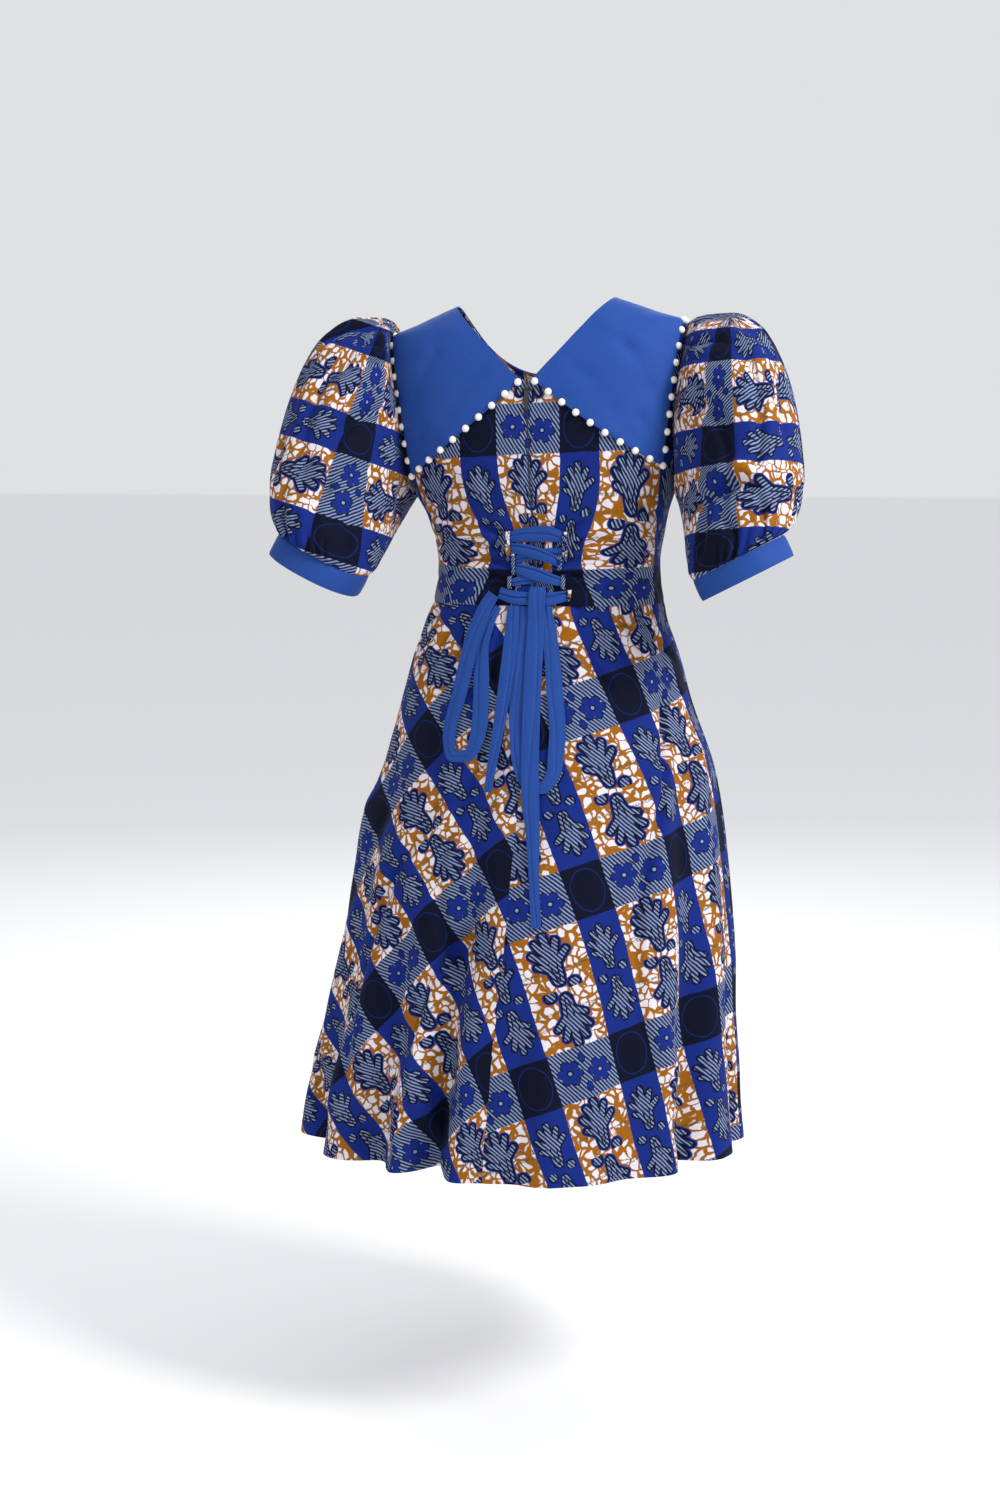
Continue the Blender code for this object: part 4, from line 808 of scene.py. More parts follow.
# Point of the skirt: the hull moved towards its middle by the folds and by finer ripples at the hem.
def skirtPoint(angle, z):
    point = skirtHull(angle, z)
    rows = skirtLooks["envelope"]
    middle = np.stack([curveThrough(rows, 4, z), curveThrough(rows, 5, z), z], -1)
    inward = middle - point
    inward /= np.linalg.norm(inward, axis=-1, keepdims=True)
    low = smoothStep(-z, 0.62, 1.07)
    ripple = skirtLooks["ripple"] * low * (1 + np.sin(angle * 21 + 3 * np.sin(angle * 4)))
    return point + inward * (foldDepth(angle, z) + ripple)[..., None]


def skirtPanel(name):
    looks = skirtLooks
    lowDeg, highDeg, columns, (turn, spin, waistRadius, across0, along0) = looks["panels"][name]
    angle = np.radians(np.linspace(lowDeg, highDeg, columns + 1))[None, :]
    drop = np.linspace(0.0, 1.0, looks["rows"] + 1)[:, None]
    z = bodyShape["waist"] + (looks["hem"] - bodyShape["waist"]) * drop
    angle, z = np.broadcast_arrays(angle, z)
    points = skirtPoint(angle, z)
    normal = gridNormals(points, looks["middle"])
    degrees = np.degrees(angle)
    relief = looks["creaseScale"] * creases(looks["creases"], degrees, z, looks["metresPerDegree"], 1.0)
    reach = np.linalg.norm(points[..., :2] - looks["middle"][:2], axis=-1)
    edge = np.minimum(angle - angle[0, 0], angle[0, -1] - angle) * reach
    relief += seamGroove(edge) + seamGroove(z - bodyShape["waist"])
    relief += seamGroove(z - looks["hem"] - 0.020, 0.0004, 0.0012)
    outer = points + relief[..., None] * normal
    slant = np.concatenate([0 * points[:1, :, 0],
                            np.cumsum(np.linalg.norm(np.diff(points, axis=0), axis=-1), axis=0)])
    lie = math.radians(turn) + spin * angle
    if lowDeg >= 90.0:
        lie = math.radians(90.0) + spin * (angle - math.radians(270.0))
    cut = np.stack([(waistRadius + slant) * np.sin(lie) + across0,
                    (waistRadius + slant) * np.cos(lie) + along0], -1)
    cut += (printLooks["columnPeriod"] / 2, printLooks["rowPeriod"] / 2)
    return makeShell(name, [(outer, normal, cut)], looks["wall"], printCotton)


skirtBackLeft = skirtPanel("back-skirt-left")
skirtBackRight = skirtPanel("back-skirt-right")
skirtFront = skirtPanel("front-skirt")
print("skirt built")


# Sleeves and cuffs.

sleeveLooks = {
    "wall": 0.0010, "shift": 0.004, "columns": 192, "rows": 104, "cuffDrop": 0.028, "cuffWall": 0.0018,
    "cuffAxis": (0.46, 0.14, -0.876),
    # share of the length, outer x and z, inner x and z, half depth, centre towards the back
    "rings": (
        (0.08, 0.205, -0.02, 0.171, -0.243, 0.078, -0.01),
        (0.17, 0.24, -0.017, 0.174, -0.249, 0.088, -0.006),
        (0.28, 0.275, -0.032, 0.178, -0.258, 0.096, 0.004),
        (0.4, 0.302, -0.072, 0.182, -0.269, 0.102, 0.016),
        (0.52, 0.3215, -0.128, 0.186, -0.281, 0.104, 0.032),
        (0.64, 0.331, -0.176, 0.19, -0.294, 0.102, 0.048),
        (0.75, 0.335, -0.213, 0.193, -0.307, 0.097, 0.064),
        (0.85, 0.332, -0.244, 0.197, -0.32, 0.088, 0.078), (0.93, 0.325, -0.267, 0.2, -0.331, 0.077, 0.09),
        (1, 0.315, -0.283, 0.206, -0.339, 0.0625, 0.1)),
    "power": 2.2, "swellEnd": 0.08, "swellPower": 0.8, "firstRing": 0.06, "creaseScale": 2.8,
    "cuffColumns": 144, "cuffRows": 16, "cuffGirth": 0.0615, "cuffBelly": 0.0006, "cuffEdge": 0.0005,
    "cuffWave": 0.0004,
    "headGathers": 25, "cuffGathers": 29, "gatherHeight": 0.0046, "headScale": 1.5, "cuffScale": 0.8,
    # how the print lies: the dome's top, the way down the arm, the dome's radius, radius round the arm,
    # the arm's middle outwards and backwards from the top, offsets along the arm and round it
    "lie": {
        1: ((0.205, 0.0, -0.005), (0.29, 0.12, -0.95), 0.095, 0.100, 0.000, 0.020, -0.0300, 0.1074),
        -1: ((-0.195, 0.0, -0.005), (-0.06, 0.12, -0.99), 0.095, 0.100, 0.038, 0.020, -0.0445, 0.0720),
    },
    # each crease: turn in degrees and share of the length at both ends, width and height in metres
    "creases": {
        1: ((60, 0.1, 78, 0.62, 0.01, -0.0034), (95, 0.14, 112, 0.7, 0.009, -0.0036),
            (30, 0.12, 44, 0.5, 0.01, -0.003), (82, 0.5, 60, 0.92, 0.008, -0.0034),
            (120, 0.3, 96, 0.86, 0.008, -0.0034), (40, 0.6, 30, 0.95, 0.008, -0.003),
            (10, 0.3, 6, 0.8, 0.01, -0.0026), (70, 0.2, 92, 0.55, 0.01, 0.003),
            (-40, 0.1, -60, 0.6, 0.01, -0.0034), (-80, 0.15, -96, 0.75, 0.009, -0.0034),
            (-60, 0.55, -48, 0.95, 0.008, -0.0032), (-20, 0.6, -16, 0.95, 0.009, -0.0028),
            (-112, 0.35, -100, 0.9, 0.008, -0.003), (140, 0.2, 132, 0.8, 0.008, -0.0026)),
        -1: ((50, 0.1, 66, 0.58, 0.01, -0.0032), (88, 0.12, 104, 0.66, 0.009, -0.0036),
             (118, 0.52, 40, 0.86, 0.008, -0.005), (122, 0.42, 60, 0.72, 0.008, 0.0034),
             (24, 0.15, 34, 0.55, 0.01, -0.0028), (76, 0.66, 60, 0.96, 0.007, -0.0034),
             (100, 0.74, 88, 0.97, 0.007, -0.0032), (4, 0.4, 2, 0.85, 0.01, -0.0026),
             (-44, 0.1, -58, 0.62, 0.01, -0.0034), (-84, 0.15, -98, 0.72, 0.009, -0.0034),
             (-62, 0.55, -50, 0.95, 0.008, -0.003), (-24, 0.58, -18, 0.95, 0.009, -0.003),
             (-114, 0.3, -104, 0.88, 0.008, -0.003), (138, 0.22, 130, 0.82, 0.008, -0.0028)),
    },
}


# Round tops with narrow valleys between them: twice the root of |sine|, less one.
def pleats(phase):
    return 2.0 * np.sqrt(np.abs(np.sin(phase / 2))) - 1.0


# Gathers: pleats round the arm whose phase wanders, strongest at the armhole and at the cuff, faded
# underneath, and let out as a bell along the sleeve.
def sleeveGathers(turn, share):
    looks = sleeveLooks
    wander = 1.3 * np.sin(3 * turn + 1.0) + 0.8 * np.sin(7 * turn)
    top = smoothStep(np.cos(turn), -0.45, 0.2)
    reach = 0.26 + 0.09 * np.sin(5 * turn)
    head = pleats(turn * looks["headGathers"] + wander) * top * np.clip(share / 0.04, 0, 1)
    head *= np.exp(-((share / reach) ** 2))
    low = smoothStep(np.cos(turn), -0.8, -0.1)
    reach = 0.17 + 0.06 * np.sin(4 * turn + 2)
    cuff = pleats(turn * looks["cuffGathers"] + wander * 1.3) * low * np.clip((1 - share) / 0.015, 0, 1)
    cuff *= np.exp(-(((1 - share) / reach) ** 2))
    return looks["gatherHeight"] * (looks["headScale"] * head + looks["cuffScale"] * cuff)


# Ring of the sleeve between an outer and an inner point, as a rounded square.
def sleeveRing(turn, share, side):
    looks = sleeveLooks
    outerX, outerZ, innerX, innerZ, half, centreY = (
        curveThrough(looks["rings"], column, share) for column in range(1, 7))
    across, along = ringShape(turn, looks["power"])
    reachX, reachZ = (outerX - innerX) / 2, (outerZ - innerZ) / 2
    scale = 1.0 + sleeveGathers(turn, share) / np.hypot(reachX, reachZ)
    x = (outerX + innerX) / 2 + reachX * along * scale
    z = (outerZ + innerZ) / 2 + reachZ * along * scale
    return np.stack([side * x + looks["shift"], centreY + half * across * scale, z], -1)


# The sleeve starts on the armhole's edge and swells into the rings as a power of the share.
def sleevePoint(turn, share, side):
    looks = sleeveLooks
    angle, z = armholePlace(np.abs(turn))
    angle = np.where(turn > 0, angle, math.pi - angle) * side
    root = torsoPoint(angle, z)
    swell = np.clip(share / looks["swellEnd"], 0.0, 1.0)[..., None] ** looks["swellPower"]
    return root * (1 - swell) + sleeveRing(turn, np.maximum(share, looks["firstRing"]), side) * swell


# Flat place of a sleeve point: arc down a dome and then a cylinder about the arm, and angle round it.
def sleeveCut(points, side):
    top, way, dome, radius, middleOut, middleBack, along0, round0 = sleeveLooks["lie"][side]
    way = np.array(way) / np.linalg.norm(way)
    out = np.cross((0, 1.0, 0), way) * -side
    out /= np.linalg.norm(out)
    back = np.cross(way, out)
    back *= np.sign(back[1])
    rel = points - top
    down = np.maximum(rel @ way, 0.0)
    arc = dome * np.arccos(1 - np.minimum(down, dome) / dome) + np.maximum(down - dome, 0.0)
    turn = np.arctan2(rel @ back - middleBack, rel @ out - middleOut)
    return np.stack([arc + along0, radius * turn * side + round0], -1)


def makeSleeve(name, side):
    looks = sleeveLooks
    turn = np.linspace(-math.pi, math.pi, looks["columns"] + 1)[None, :]
    share = np.linspace(0.0, 1.0, looks["rows"] + 1)[:, None] ** 1.15
    turn, share = np.broadcast_arrays(turn, share)
    points = sleevePoint(turn, share, side)
    middle = points.mean(axis=1, keepdims=True)
    normal = gridNormals(points, middle, tube=True)
    relief = looks["creaseScale"] * creases(looks["creases"][side], np.degrees(turn), share, 0.0017, 0.30)
    relief *= smoothStep(share, 0.0, 0.10) * smoothStep(1 - share, 0.0, 0.06)
    relief += seamGroove(share * 0.3) + seamGroove((1 - share) * 0.3, 0.0012)
    outer = points + relief[..., None] * normal
    return makeShell(name, [(outer, normal, sleeveCut(points, side))], looks["wall"], printCotton)


# The cuff: the sleeve's last ring carried on along the cuff's axis, with a slow wave and a soft belly.
def makeCuff(name, side):
    looks = sleeveLooks
    turn = np.linspace(-math.pi, math.pi, looks["cuffColumns"] + 1)[None, :]
    share = np.linspace(0.0, 1.0, looks["cuffRows"] + 1)[:, None]
    axis = np.array(looks["cuffAxis"]) * [side, 1, 1]
    axis /= np.linalg.norm(axis)
    ring = sleeveRing(turn[0], np.ones_like(turn[0]), side)
    radial = ring - ring[:-1].mean(axis=0)
    radial -= (radial @ axis)[:, None] * axis
    radial /= np.linalg.norm(radial, axis=-1, keepdims=True)
    edges = np.exp(-(share / 0.08) ** 2) + np.exp(-((1 - share) / 0.08) ** 2)
    belly = looks["cuffBelly"] * np.sin(share * math.pi) - looks["cuffEdge"] * edges
    wave = looks["cuffWave"] * np.sin(turn * 9 + share * 3) * np.sin(turn * 4)
    outer = (ring[None] + (share * looks["cuffDrop"])[..., None] * axis
             + (belly + wave)[..., None] * radial[None])
    cut = np.stack(np.broadcast_arrays(turn * looks["cuffGirth"], share * looks["cuffDrop"]), -1)
    normal = np.broadcast_to(radial[None], outer.shape)
    return makeShell(name, [(outer, normal, cut)], looks["cuffWall"], plainCotton)


sides = ((1, "left"), (-1, "right"))
sleeves = {side: makeSleeve(f"sleeve-{word}", side) for side, word in sides}
cuffs = {side: makeCuff(f"cuff-{word}", side) for side, word in sides}
print("sleeves and cuffs built")


# Collar and its pearls.

collarLooks = {
    "lift": 0.0029, "wall": 0.0018, "columns": 60, "backRows": 84, "frontRows": 64,
    "tip": (0.158, -0.207), "gapAtV": 0.0075, "frontLow": -0.165, "ridgeReach": 0.93,
    "vGap": 0.004, "lowBow": 0.004, "frontGap": 0.985, "creaseScale": 2.4,
    # depth and width of the rolled edge, and height, place and width of the ridge beside it
    "roll": (0.0007, 0.0016), "bead": (0.0003, 0.006, 0.003),
    "pearlRadius": 0.0047, "pearlSpacing": 0.0215, "pearlLift": 0.0042, "pearlStart": 0.004,
    "pearlLoops": 9, "pearlSides": 14,
    # girth and height of both ends, width and height in metres
    "creases": (
        (0.12, -0.06, 0.15, -0.11, 0.01, -0.001), (0.06, -0.085, 0.1, -0.13, 0.011, -0.0009),
        (0.14, -0.15, 0.15, -0.195, 0.008, -0.0009), (0.1, -0.16, 0.12, -0.18, 0.009, 0.0008),
        (0.03, -0.115, 0.06, -0.135, 0.007, -0.0008), (0.09, -0.03, 0.13, -0.05, 0.009, 0.0009),
        (0.23, -0.07, 0.26, -0.11, 0.012, -0.001), (0.3, -0.12, 0.34, -0.13, 0.01, -0.0009)),
}


def collarShoulder():
    z = bodyShape["tip"] * collarLooks["ridgeReach"]
    return halfWidth(z), z


# Outer edge behind, straight from the point up to the shoulder.
def collarEdgeOut(share):
    topX, topZ = collarShoulder()
    tipX, tipZ = collarLooks["tip"]
    z = tipZ + (topZ - tipZ) * share
    return angleOf((tipX + (topX - tipX) * share) / halfWidth(z)), z


# Lower edge behind, from the bottom of the V to the point, bowed as half a sine.
def collarEdgeLow(share):
    tipX, tipZ = collarLooks["tip"]
    low = bodyShape["vBottom"] + collarLooks["vGap"]
    z = low + (tipZ - low) * share - collarLooks["lowBow"] * np.sin(math.pi * share)
    return angleOf((collarLooks["gapAtV"] + (tipX - collarLooks["gapAtV"]) * share) / halfWidth(z)), z


# Outer edge in front, an eased quarter oval from the shoulder to the middle.
def collarFrontOut(share):
    topX, topZ = collarShoulder()
    low = collarLooks["frontLow"]
    turn = share * math.pi / 2
    z = low + (topZ - low) * np.cos(turn) ** 1.2
    x = topX * np.cos(turn) ** 0.55 + 0.004 * (1 - np.cos(turn))
    return math.pi - angleOf(x / halfWidth(z)), z


def collarGrid():
    looks = collarLooks

    def neckBack(t):
        return neckPlace(t, bodyShape["vBottom"] + looks["vGap"], looks["gapAtV"])

    def neckFront(t):
        angle, z = frontNeckPlace(1.0 - t * looks["frontGap"])
        return math.pi - angle, z

    def frontEnd(t):
        low, far = np.array(neckFront(1.0)), np.array(collarFrontOut(1.0))
        return low[0] + (far[0] - low[0]) * t, low[1] + (far[1] - low[1]) * t

    columns = looks["columns"]
    ridge = evenPlaces(shoulderPlace, 0.0, looks["ridgeReach"], columns)
    back = fillEdges(evenPlaces(collarEdgeLow, 0, 1, columns), ridge,
                     evenPlaces(neckBack, 0, 1, looks["backRows"]),
                     evenPlaces(collarEdgeOut, 0, 1, looks["backRows"]))
    front = fillEdges(ridge, evenPlaces(frontEnd, 0, 1, columns),
                      evenPlaces(neckFront, 0, 1, looks["frontRows"]),
                      evenPlaces(collarFrontOut, 0, 1, looks["frontRows"]))
    return np.concatenate([back, front[1:]])


# A collar half: the torso's skin lifted by the gap and the wall, whose edge rolls in as a bell of the
# distance to the nearer border.
def makeCollar(name, side):
    looks = collarLooks
    places = collarGrid()
    angle, z = places[..., 0] * side, places[..., 1]
    skin = torsoPoint(angle, z)
    normal = gridNormals(skin, bodyShape["middle"])
    girth = girthTo(np.abs(angle), z)
    relief = looks["creaseScale"] * creases(looks["creases"], girth, z, 1.0, 1.0)
    toOut = np.linalg.norm(skin - skin[:, -1:], axis=-1)
    toLow = np.linalg.norm(skin - skin[:1], axis=-1)
    near = np.minimum(toOut, toLow)
    (rollDepth, rollWidth), (beadHeight, beadAt, beadWidth) = looks["roll"], looks["bead"]
    roll = beadHeight * np.exp(-((near - beadAt) / beadWidth) ** 2)
    roll -= rollDepth * np.exp(-(near / rollWidth) ** 2)
    outer = skin + (looks["lift"] + looks["wall"] + relief + roll)[..., None] * normal
    cut = np.stack([girth * side, -z], -1)
    return makeShell(name, [(outer, normal, cut)], looks["wall"], collarCotton)


# Unit ball as loops of latitude, each a circle of longitudes.
def ballPoints(loops, sides):
    up = np.linspace(-math.pi / 2, math.pi / 2, loops)[:, None]
    turn = np.linspace(0, 2 * math.pi, sides, endpoint=False)[None, :]
    flat = np.maximum(np.cos(up), 1e-3)
    return np.stack([flat * np.cos(turn), flat * np.sin(turn), np.sin(up) + 0 * turn], -1).reshape(-1, 3)


# Pearls along the collar's outer border, at even steps of its length, from the V to the front middle.
def makePearls(name, side):
    looks = collarLooks
    parts = [np.stack(place(np.linspace(0, 1, 600)), -1)
             for place in (collarEdgeLow, collarEdgeOut, lambda t: collarFrontOut(t * 0.9985))]
    places = np.concatenate(parts)
    path = torsoPoint(places[:, 0] * side, places[:, 1])
    step = 1e-3
    alongAngle = torsoPoint(places[:, 0] * side + step, places[:, 1]) - path
    alongHeight = torsoPoint(places[:, 0] * side, places[:, 1] - step) - path
    normal = np.cross(alongAngle, alongHeight)
    normal /= np.linalg.norm(normal, axis=-1, keepdims=True)
    normal *= np.sign((normal * (path - bodyShape["middle"])).sum(-1, keepdims=True))
    length = runLength(path)
    at = np.arange(looks["pearlStart"], length[-1], looks["pearlSpacing"])
    lifted = path + normal * looks["pearlLift"]
    centres = np.stack([np.interp(at, length, lifted[:, axis]) for axis in range(3)], -1)
    loops, sides = looks["pearlLoops"], looks["pearlSides"]
    ball = ballPoints(loops, sides) * looks["pearlRadius"]
    points = (centres[:, None, :] + ball[None]).reshape(-1, 3)
    quads = loopQuads(loops, sides)[:, ::-1]
    quads = (quads[None] + (np.arange(len(centres)) * len(ball))[:, None, None]).reshape(-1, 4)
    return makeMesh(name, points, quads, pearl, sharp=180.0)


collars = {side: makeCollar(f"collar-{word}", side) for side, word in sides}
pearls = {side: makePearls(f"pearls-{word}", side) for side, word in sides}
print("collar and pearls built")


# Tie, lacing and loops.

tieLooks = {
    "wall": 0.0012, "step": 0.0030, "columns": 18, "leastWidth": 0.0102,
    "arch": 0.0007, "middleFold": 0.0010, "edgeFold": 0.0004, "twist": 0.0003, "waver": 0.0005,
    # how much deeper the folds are where the tie is drawn tight
    "knotTight": 2.4, "laceTight": 1.6,
    "loopWall": 0.0016, "loopHalf": 0.0025, "loopFoot": 0.0018, "loopRise": 0.0044, "loopRound": 0.0006,
    # each route as seen from behind: x, z, width, lift of the outer face off the cloth
    "straps": {
        "lace-top": ((0.035, -0.29, 0.011, 0.0018), (0.01, -0.2855, 0.018, 0.0032),
                     (-0.015, -0.284, 0.019, 0.0032), (-0.041, -0.291, 0.011, 0.0018)),
        "lace-upper-over": ((0.035, -0.3015, 0.01, 0.0028), (0.022, -0.303, 0.013, 0.0048),
                            (0.004, -0.3065, 0.015, 0.0054), (-0.018, -0.314, 0.013, 0.0048),
                            (-0.035, -0.3218, 0.01, 0.0028)),
        "lace-upper-under": ((-0.041, -0.3065, 0.01, 0.002), (-0.009, -0.309, 0.012, 0.002),
                             (0.028, -0.3175, 0.01, 0.002)),
        "lace-lower-over": ((0.029, -0.3265, 0.01, 0.0028), (0.016, -0.329, 0.014, 0.0048),
                            (-0.002, -0.334, 0.016, 0.0054), (-0.023, -0.341, 0.013, 0.0048),
                            (-0.039, -0.3445, 0.01, 0.0028)),
        "lace-lower-under": ((-0.022, -0.3368, 0.009, 0.002), (-0.002, -0.3395, 0.012, 0.002),
                             (0.034, -0.3462, 0.009, 0.002)),
        "tie-tail-long": ((-0.006, -0.35, 0.02, 0.0052), (-0.006, -0.355, 0.021, 0.0086),
                          (-0.006, -0.364, 0.021, 0.0096), (-0.006, -0.374, 0.021, 0.009),
                          (-0.006, -0.392, 0.021, 0.0068), (-0.006, -0.428, 0.022, 0.0064),
                          (-0.008, -0.517, 0.022, 0.0064), (-0.012, -0.596, 0.022, 0.0064),
                          (-0.018, -0.648, 0.017, 0.005), (-0.021, -0.689, 0.013, 0.004),
                          (-0.027, -0.758, 0.012, 0.003)),
        "tie-tail-left": ((0.024, -0.3735, 0.015, 0.0052), (0.025, -0.416, 0.018, 0.0052),
                          (0.029, -0.477, 0.017, 0.0052), (0.034, -0.531, 0.014, 0.0046),
                          (0.04, -0.579, 0.011, 0.0036), (0.042, -0.599, 0.009, 0.0032)),
        "bow-right": ((-0.016, -0.3735, 0.014, 0.0042), (-0.025, -0.415, 0.018, 0.0042),
                      (-0.034, -0.475, 0.02, 0.0042), (-0.041, -0.535, 0.02, 0.0042),
                      (-0.04, -0.57, 0.018, 0.004), (-0.025, -0.592, 0.014, 0.0036),
                      (-0.004, -0.583, 0.015, 0.0032), (0.009, -0.54, 0.017, 0.003),
                      (0.013, -0.476, 0.018, 0.003), (0.012, -0.416, 0.016, 0.003),
                      (0.01, -0.3745, 0.012, 0.003)),
        "bow-left": ((0.051, -0.36, 0.016, 0.0056), (0.06, -0.375, 0.018, 0.006),
                     (0.075, -0.417, 0.021, 0.0062), (0.087, -0.479, 0.02, 0.0062),
                     (0.098, -0.534, 0.017, 0.0056), (0.092, -0.558, 0.014, 0.0046),
                     (0.072, -0.557, 0.015, 0.0036), (0.058, -0.516, 0.021, 0.003),
                     (0.06, -0.465, 0.02, 0.003), (0.062, -0.429, 0.017, 0.003),
                     (0.055, -0.395, 0.014, 0.003), (0.046, -0.3745, 0.012, 0.0018)),
        "knot": ((0.044, -0.358, 0.014, 0.003), (0.02, -0.364, 0.016, 0.0056),
                 (-0.016, -0.365, 0.016, 0.0056), (-0.042, -0.361, 0.013, 0.003)),
    },
    "replaces": {
        "lace-top": "tie_lace_top", "lace-upper-over": "tie_lace_upper_over",
        "lace-upper-under": "tie_lace_upper_under", "lace-lower-over": "tie_lace_lower_over",
        "lace-lower-under": "tie_lace_lower_under", "tie-tail-long": "tie_tail_long",
        "tie-tail-left": "tie_tail_left", "bow-right": "tie_bow_right", "bow-left": "tie_bow_left",
        "knot": "tie_knot"},
    # name, place seen from behind, span
    "loops": (
        ("lace_loop_left_1", 0.0335, -0.2970, 0.031), ("lace_loop_left_2", 0.0265, -0.3220, 0.028),
        ("lace_loop_left_3", 0.0310, -0.3450, 0.016), ("lace_loop_right_1", -0.0385, -0.2980, 0.034),
        ("lace_loop_right_2", -0.0320, -0.3212, 0.0185), ("lace_loop_right_3", -0.0370, -0.3440, 0.018),
        ("lace_loop_right_4", -0.0450, -0.3610, 0.014)),
}


# How far back the bodice or the skirt's hull lies at a place seen from behind. The lean is undone
# first, and the angle is read from the share of the half width.
def backDepth(x, z):
    shape = bodyShape
    lean = shape["lean"] * smoothStep(z, shape["leanFrom"], shape["leanFull"])
    upX = x - lean * (z - shape["leanFrom"])
    upZ = z + lean * x
    share = np.abs(upX) / halfWidth(upZ)
    bodice = torsoPoint(angleOf(share) * np.sign(upX), upZ)[..., 1]
    rows = skirtLooks["envelope"]
    share = np.abs(x - curveThrough(rows, 4, z)) / curveThrough(rows, 1, z)
    return np.where(z > shape["waist"], bodice, skirtHull(angleOf(share), z)[..., 1])


# A flat tie along a route: its section is a shallow arch with a soft fold off the middle and rounded
# edges, and it wavers slowly along its length.
def makeStrap(name, rows):
    looks = tieLooks
    table = np.array(rows, float)
    length = runLength(table[:, :2])
    table = np.concatenate([length[:, None], table], axis=1)
    count = max(12, int(length[-1] / looks["step"]))
    at = np.linspace(0.0, length[-1], count + 1)
    x, z, width, lift = (curveThrough(table, column, at) for column in range(1, 5))
    aheadX, aheadZ = np.gradient(x), np.gradient(z)
    size = np.hypot(aheadX, aheadZ)
    across = np.linspace(-1.0, 1.0, looks["columns"] + 1)[None, :]
    phase = len(name) * 0.7
    reach = across * width[:, None] / 2
    placeX = x[:, None] - reach * (aheadZ / size)[:, None]
    placeZ = z[:, None] + reach * (aheadX / size)[:, None]
    fold = 0.42 * np.sin(at * 17 + phase)[:, None]
    tight = looks["knotTight"] if name == "knot" else 1.0
    if name.startswith("lace"):
        tight = looks["laceTight"]
    relief = looks["arch"] * tight * (1 - across**2)
    relief = relief - looks["middleFold"] * tight * np.exp(-((across - fold) / 0.13) ** 2)
    relief = relief - looks["edgeFold"] * tight * np.exp(-((across + 0.62 + 0.3 * fold) / 0.10) ** 2)
    relief = relief + looks["twist"] * np.sin(at * 75 + phase)[:, None] * across
    slow = looks["waver"] * np.sin(at * 30 + phase)[:, None] * np.clip(lift[:, None] / 0.004, 0, 1)
    placeY = backDepth(placeX, placeZ) + lift[:, None] + relief + slow
    outer = np.stack([placeX, placeY, placeZ], -1)
    cut = np.stack(np.broadcast_arrays(reach, at[:, None]), -1)
    thing = makeShell(name, [(outer, facingBack(outer), cut)], looks["wall"], plainCotton)
    return thing, (max(looks["leastWidth"], float(width.mean())), float(length[-1]))


# A loop of folded print: a strip over a low arch, whose height follows the power 0.7 of 1 - t^4.
def makeLoop(name, x, z, span):
    looks = tieLooks
    t = np.linspace(-1.0, 1.0, 33)[:, None]
    across = np.linspace(-1.0, 1.0, 9)[None, :]
    placeX = x + looks["loopHalf"] * across + 0.0 * t
    placeZ = z + t * span / 2 + 0.0 * across
    arch = np.clip(1 - t**4, 0, 1) ** 0.7
    height = looks["loopFoot"] + looks["loopRise"] * arch - looks["loopRound"] * across**2
    outer = np.stack([placeX, backDepth(placeX, placeZ) + height, placeZ], -1)
    cut = np.stack([placeX * 1.6 + 0.05, placeZ * 1.6], -1)
    return makeShell(name.replace("_", "-"), [(outer, facingBack(outer), cut)], looks["loopWall"],
                     printCotton)


straps = {name: makeStrap(name, rows) for name, rows in tieLooks["straps"].items()}
loops = {name: makeLoop(name, x, z, span) for name, x, z, span in tieLooks["loops"]}
print("tie and loops built")


# Zip.

zipLooks = {"top": -0.1045, "end": -0.371, "tapeWidth": 0.022, "toothPitch": 0.0016,
            "tooth": (0.0013, 0.0007, 0.0010), "tapeBehind": 0.0022, "tapeWall": 0.0008,
            "teethBehind": 0.0006, "stagger": 0.0002}


# The tape: a strip behind the centre back seam.
def makeTape():
    looks = zipLooks
    z = np.linspace(looks["end"], looks["top"], 120)[:, None]
    line = torsoPoint(0.0 * z, z)
    across = np.linspace(-1.0, 1.0, 9)[None, :]
    x = line[..., 0] + across * looks["tapeWidth"] / 2
    height = line[..., 2] + 0.0 * across
    outer = np.stack([x, backDepth(x, height) - looks["tapeBehind"], height], -1)
    return makeShell("zip-tape", [(outer, facingBack(outer), None)], looks["tapeWall"], tapeCloth)


# Closed teeth: small blocks at even steps down the seam, set left and right of it by turns.
def makeTeeth():
    looks = zipLooks
    z = np.arange(looks["end"], looks["top"], looks["toothPitch"])
    line = torsoPoint(0.0 * z, z)
    line[:, 1] -= looks["teethBehind"]
    line[:, 0] += looks["stagger"] * np.where(np.arange(len(z)) % 2, 1, -1)
    corner = np.array([(x, y, w) for x in (-1, 1) for y in (-1, 1) for w in (-1, 1)]) / 2.0
    block = np.array([(0, 1, 3, 2), (4, 6, 7, 5), (0, 4, 5, 1), (2, 3, 7, 6), (0, 2, 6, 4), (1, 5, 7, 3)])
    points = (line[:, None] + corner[None] * looks["tooth"]).reshape(-1, 3)
    quads = (block[None] + (np.arange(len(z)) * 8)[:, None, None]).reshape(-1, 4)
    return makeMesh("zip-teeth", points, quads, toothPlastic)


zipTape, zipTeeth = makeTape(), makeTeeth()
for node in ("zip_slider", "zip_pull"):
    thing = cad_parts[node]
    thing.data.materials.clear()
    thing.data.materials.append(zipMetal)
print("zip built")


# What each piece stands for and rides on.

def place(thing, nodes, slot):
    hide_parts(*nodes)
    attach(thing, "dress")


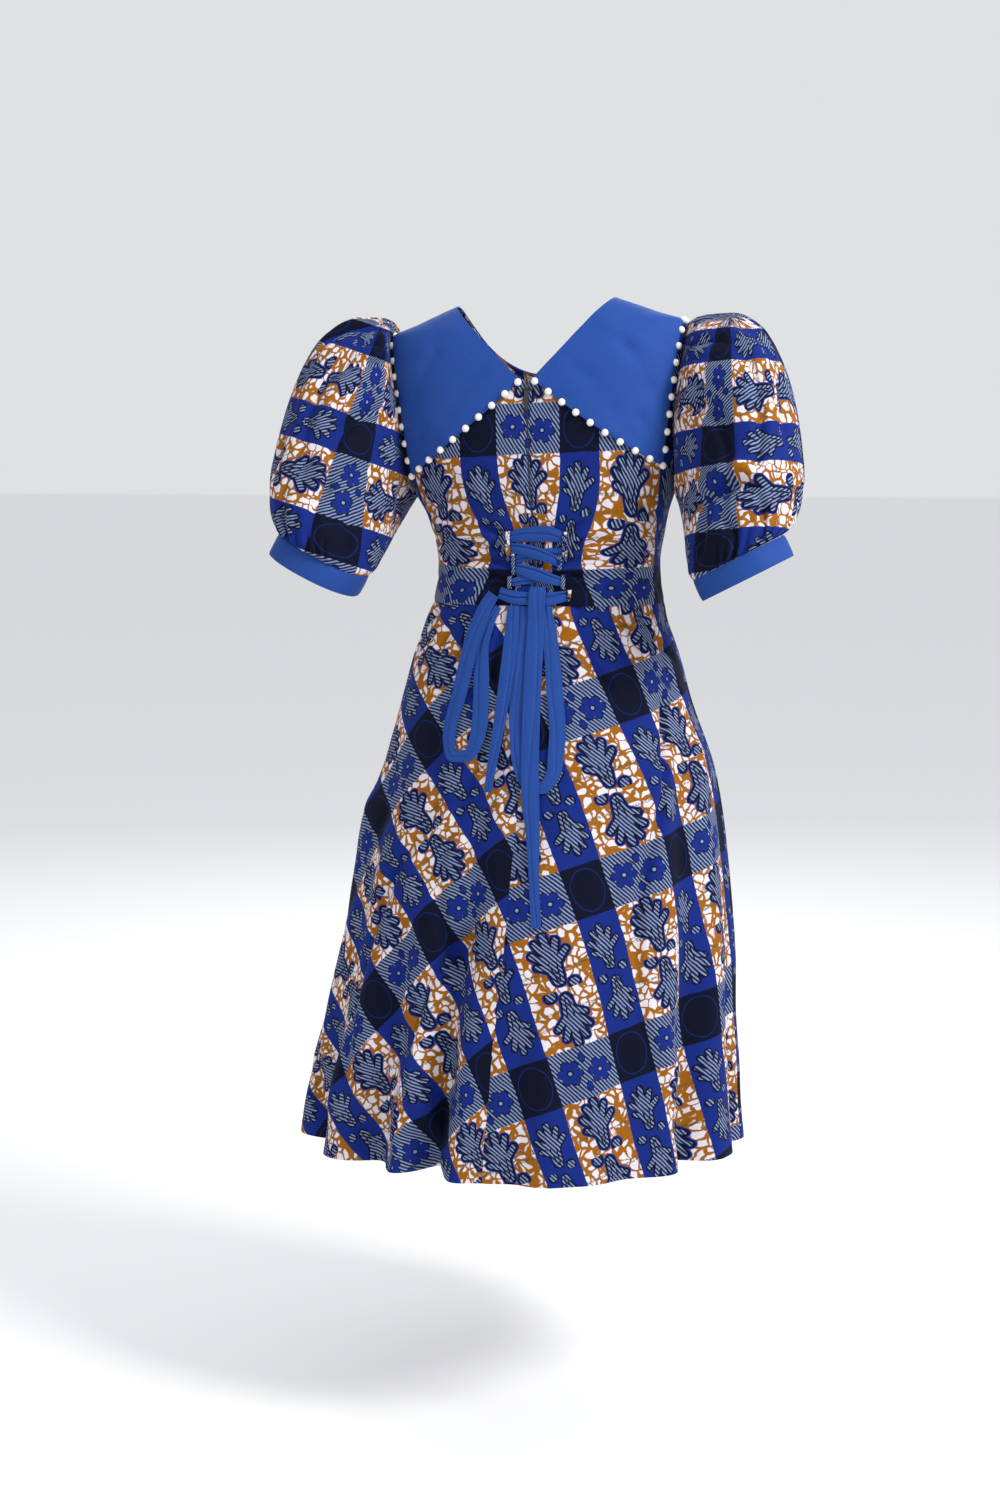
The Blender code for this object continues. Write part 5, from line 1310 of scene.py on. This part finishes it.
for thing, node in ((bodiceBackLeft, "bodice_back_left"), (bodiceBackRight, "bodice_back_right"),
                    (bodiceFront, "bodice_front"), (skirtBackLeft, "skirt_back_left"),
                    (skirtBackRight, "skirt_back_right"), (skirtFront, "skirt_front"),
                    (sleeves[1], "sleeve_left"), (sleeves[-1], "sleeve_right")):
    place(thing, [node], "print_cotton")
for thing, node in ((cuffs[1], "cuff_left"), (cuffs[-1], "cuff_right"),
                    (collars[1], "collar_left"), (collars[-1], "collar_right")):
    place(thing, [node], "plain_cotton")
for thing in pearls.values():
    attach(thing, "dress")
for name, (thing, size) in straps.items():
    place(thing, [tieLooks["replaces"][name]], "plain_cotton")
for node, thing in loops.items():
    place(thing, [node], "print_cotton")
place(zipTape, ["zip_tape"], "zip_tape")
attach(zipTeeth, "dress")

print("pieces placed")


# Floor, light and camera.

studioLooks = {
    "floorHeight": -1.42, "floor": (0.90, 0.90, 0.91, 1), "world": (0.93, 0.94, 0.96, 1),
    "worldStrength": 0.80, "floorHalf": 60.0,
    # name, place, aim, size and power
    "lamps": (
        ("key", (-2.4, 1.1, 1.6), (0, 0, -0.45), 0.9, 100),
        ("fill", (2.6, 2.4, 0.4), (0, 0, -0.5), 2.2, 10),
        ("front", (0.8, -3.0, 1.4), (0, 0, -0.5), 2.2, 40),
    ),
}


def makeStudio():
    looks = studioLooks
    half = looks["floorHalf"]
    corners = np.array([(-half, -half, 0), (half, -half, 0), (half, half, 0), (-half, half, 0)], float)
    corners[:, 2] = looks["floorHeight"]
    floor = makeMesh("floor", corners, np.array([(0, 1, 2, 3)]),
                     hardMaterial("floor", looks["floor"], 0.7))
    world = bpy.data.worlds.new("studio")
    world.use_nodes = True
    background = next(node for node in world.node_tree.nodes if node.type == "BACKGROUND")
    background.inputs["Color"].default_value = looks["world"]
    background.inputs["Strength"].default_value = looks["worldStrength"]
    bpy.context.scene.world = world
    for name, where, aim, size, power in looks["lamps"]:
        data = bpy.data.lights.new(name, "AREA")
        data.size = size
        data.energy = power
        lamp = bpy.data.objects.new(name, data)
        lamp.location = where
        lamp.rotation_euler = (Vector(aim) - Vector(where)).to_track_quat("-Z", "Y").to_euler()
        bpy.context.scene.collection.objects.link(lamp)


cameraLooks = {"distance": 3.0, "turnDegrees": 12.0, "pitchDegrees": 7.29, "height": -0.1815,
               "aside": -0.0589, "lens": 56.256}


# The camera stands behind the wearer, turned round towards -X, and looks a little down.
def makeCamera():
    looks = cameraLooks
    turn, pitch = math.radians(looks["turnDegrees"]), math.radians(looks["pitchDegrees"])
    back = Vector((-math.sin(turn), math.cos(turn), 0))
    right = Vector((-math.cos(turn), -math.sin(turn), 0))
    data = bpy.data.cameras.new("photo view")
    data.lens = looks["lens"]
    data.sensor_width = 36.0
    camera = bpy.data.objects.new("photo view", data)
    camera.location = back * looks["distance"] + right * looks["aside"] + Vector((0, 0, looks["height"]))
    look = -back * math.cos(pitch) - Vector((0, 0, 1)) * math.sin(pitch)
    camera.rotation_euler = look.to_track_quat("-Z", "Y").to_euler()
    bpy.context.scene.collection.objects.link(camera)
    bpy.context.scene.camera = camera


makeStudio()
makeCamera()
bpy.context.scene.view_settings.view_transform = "Standard"
print("studio ready")
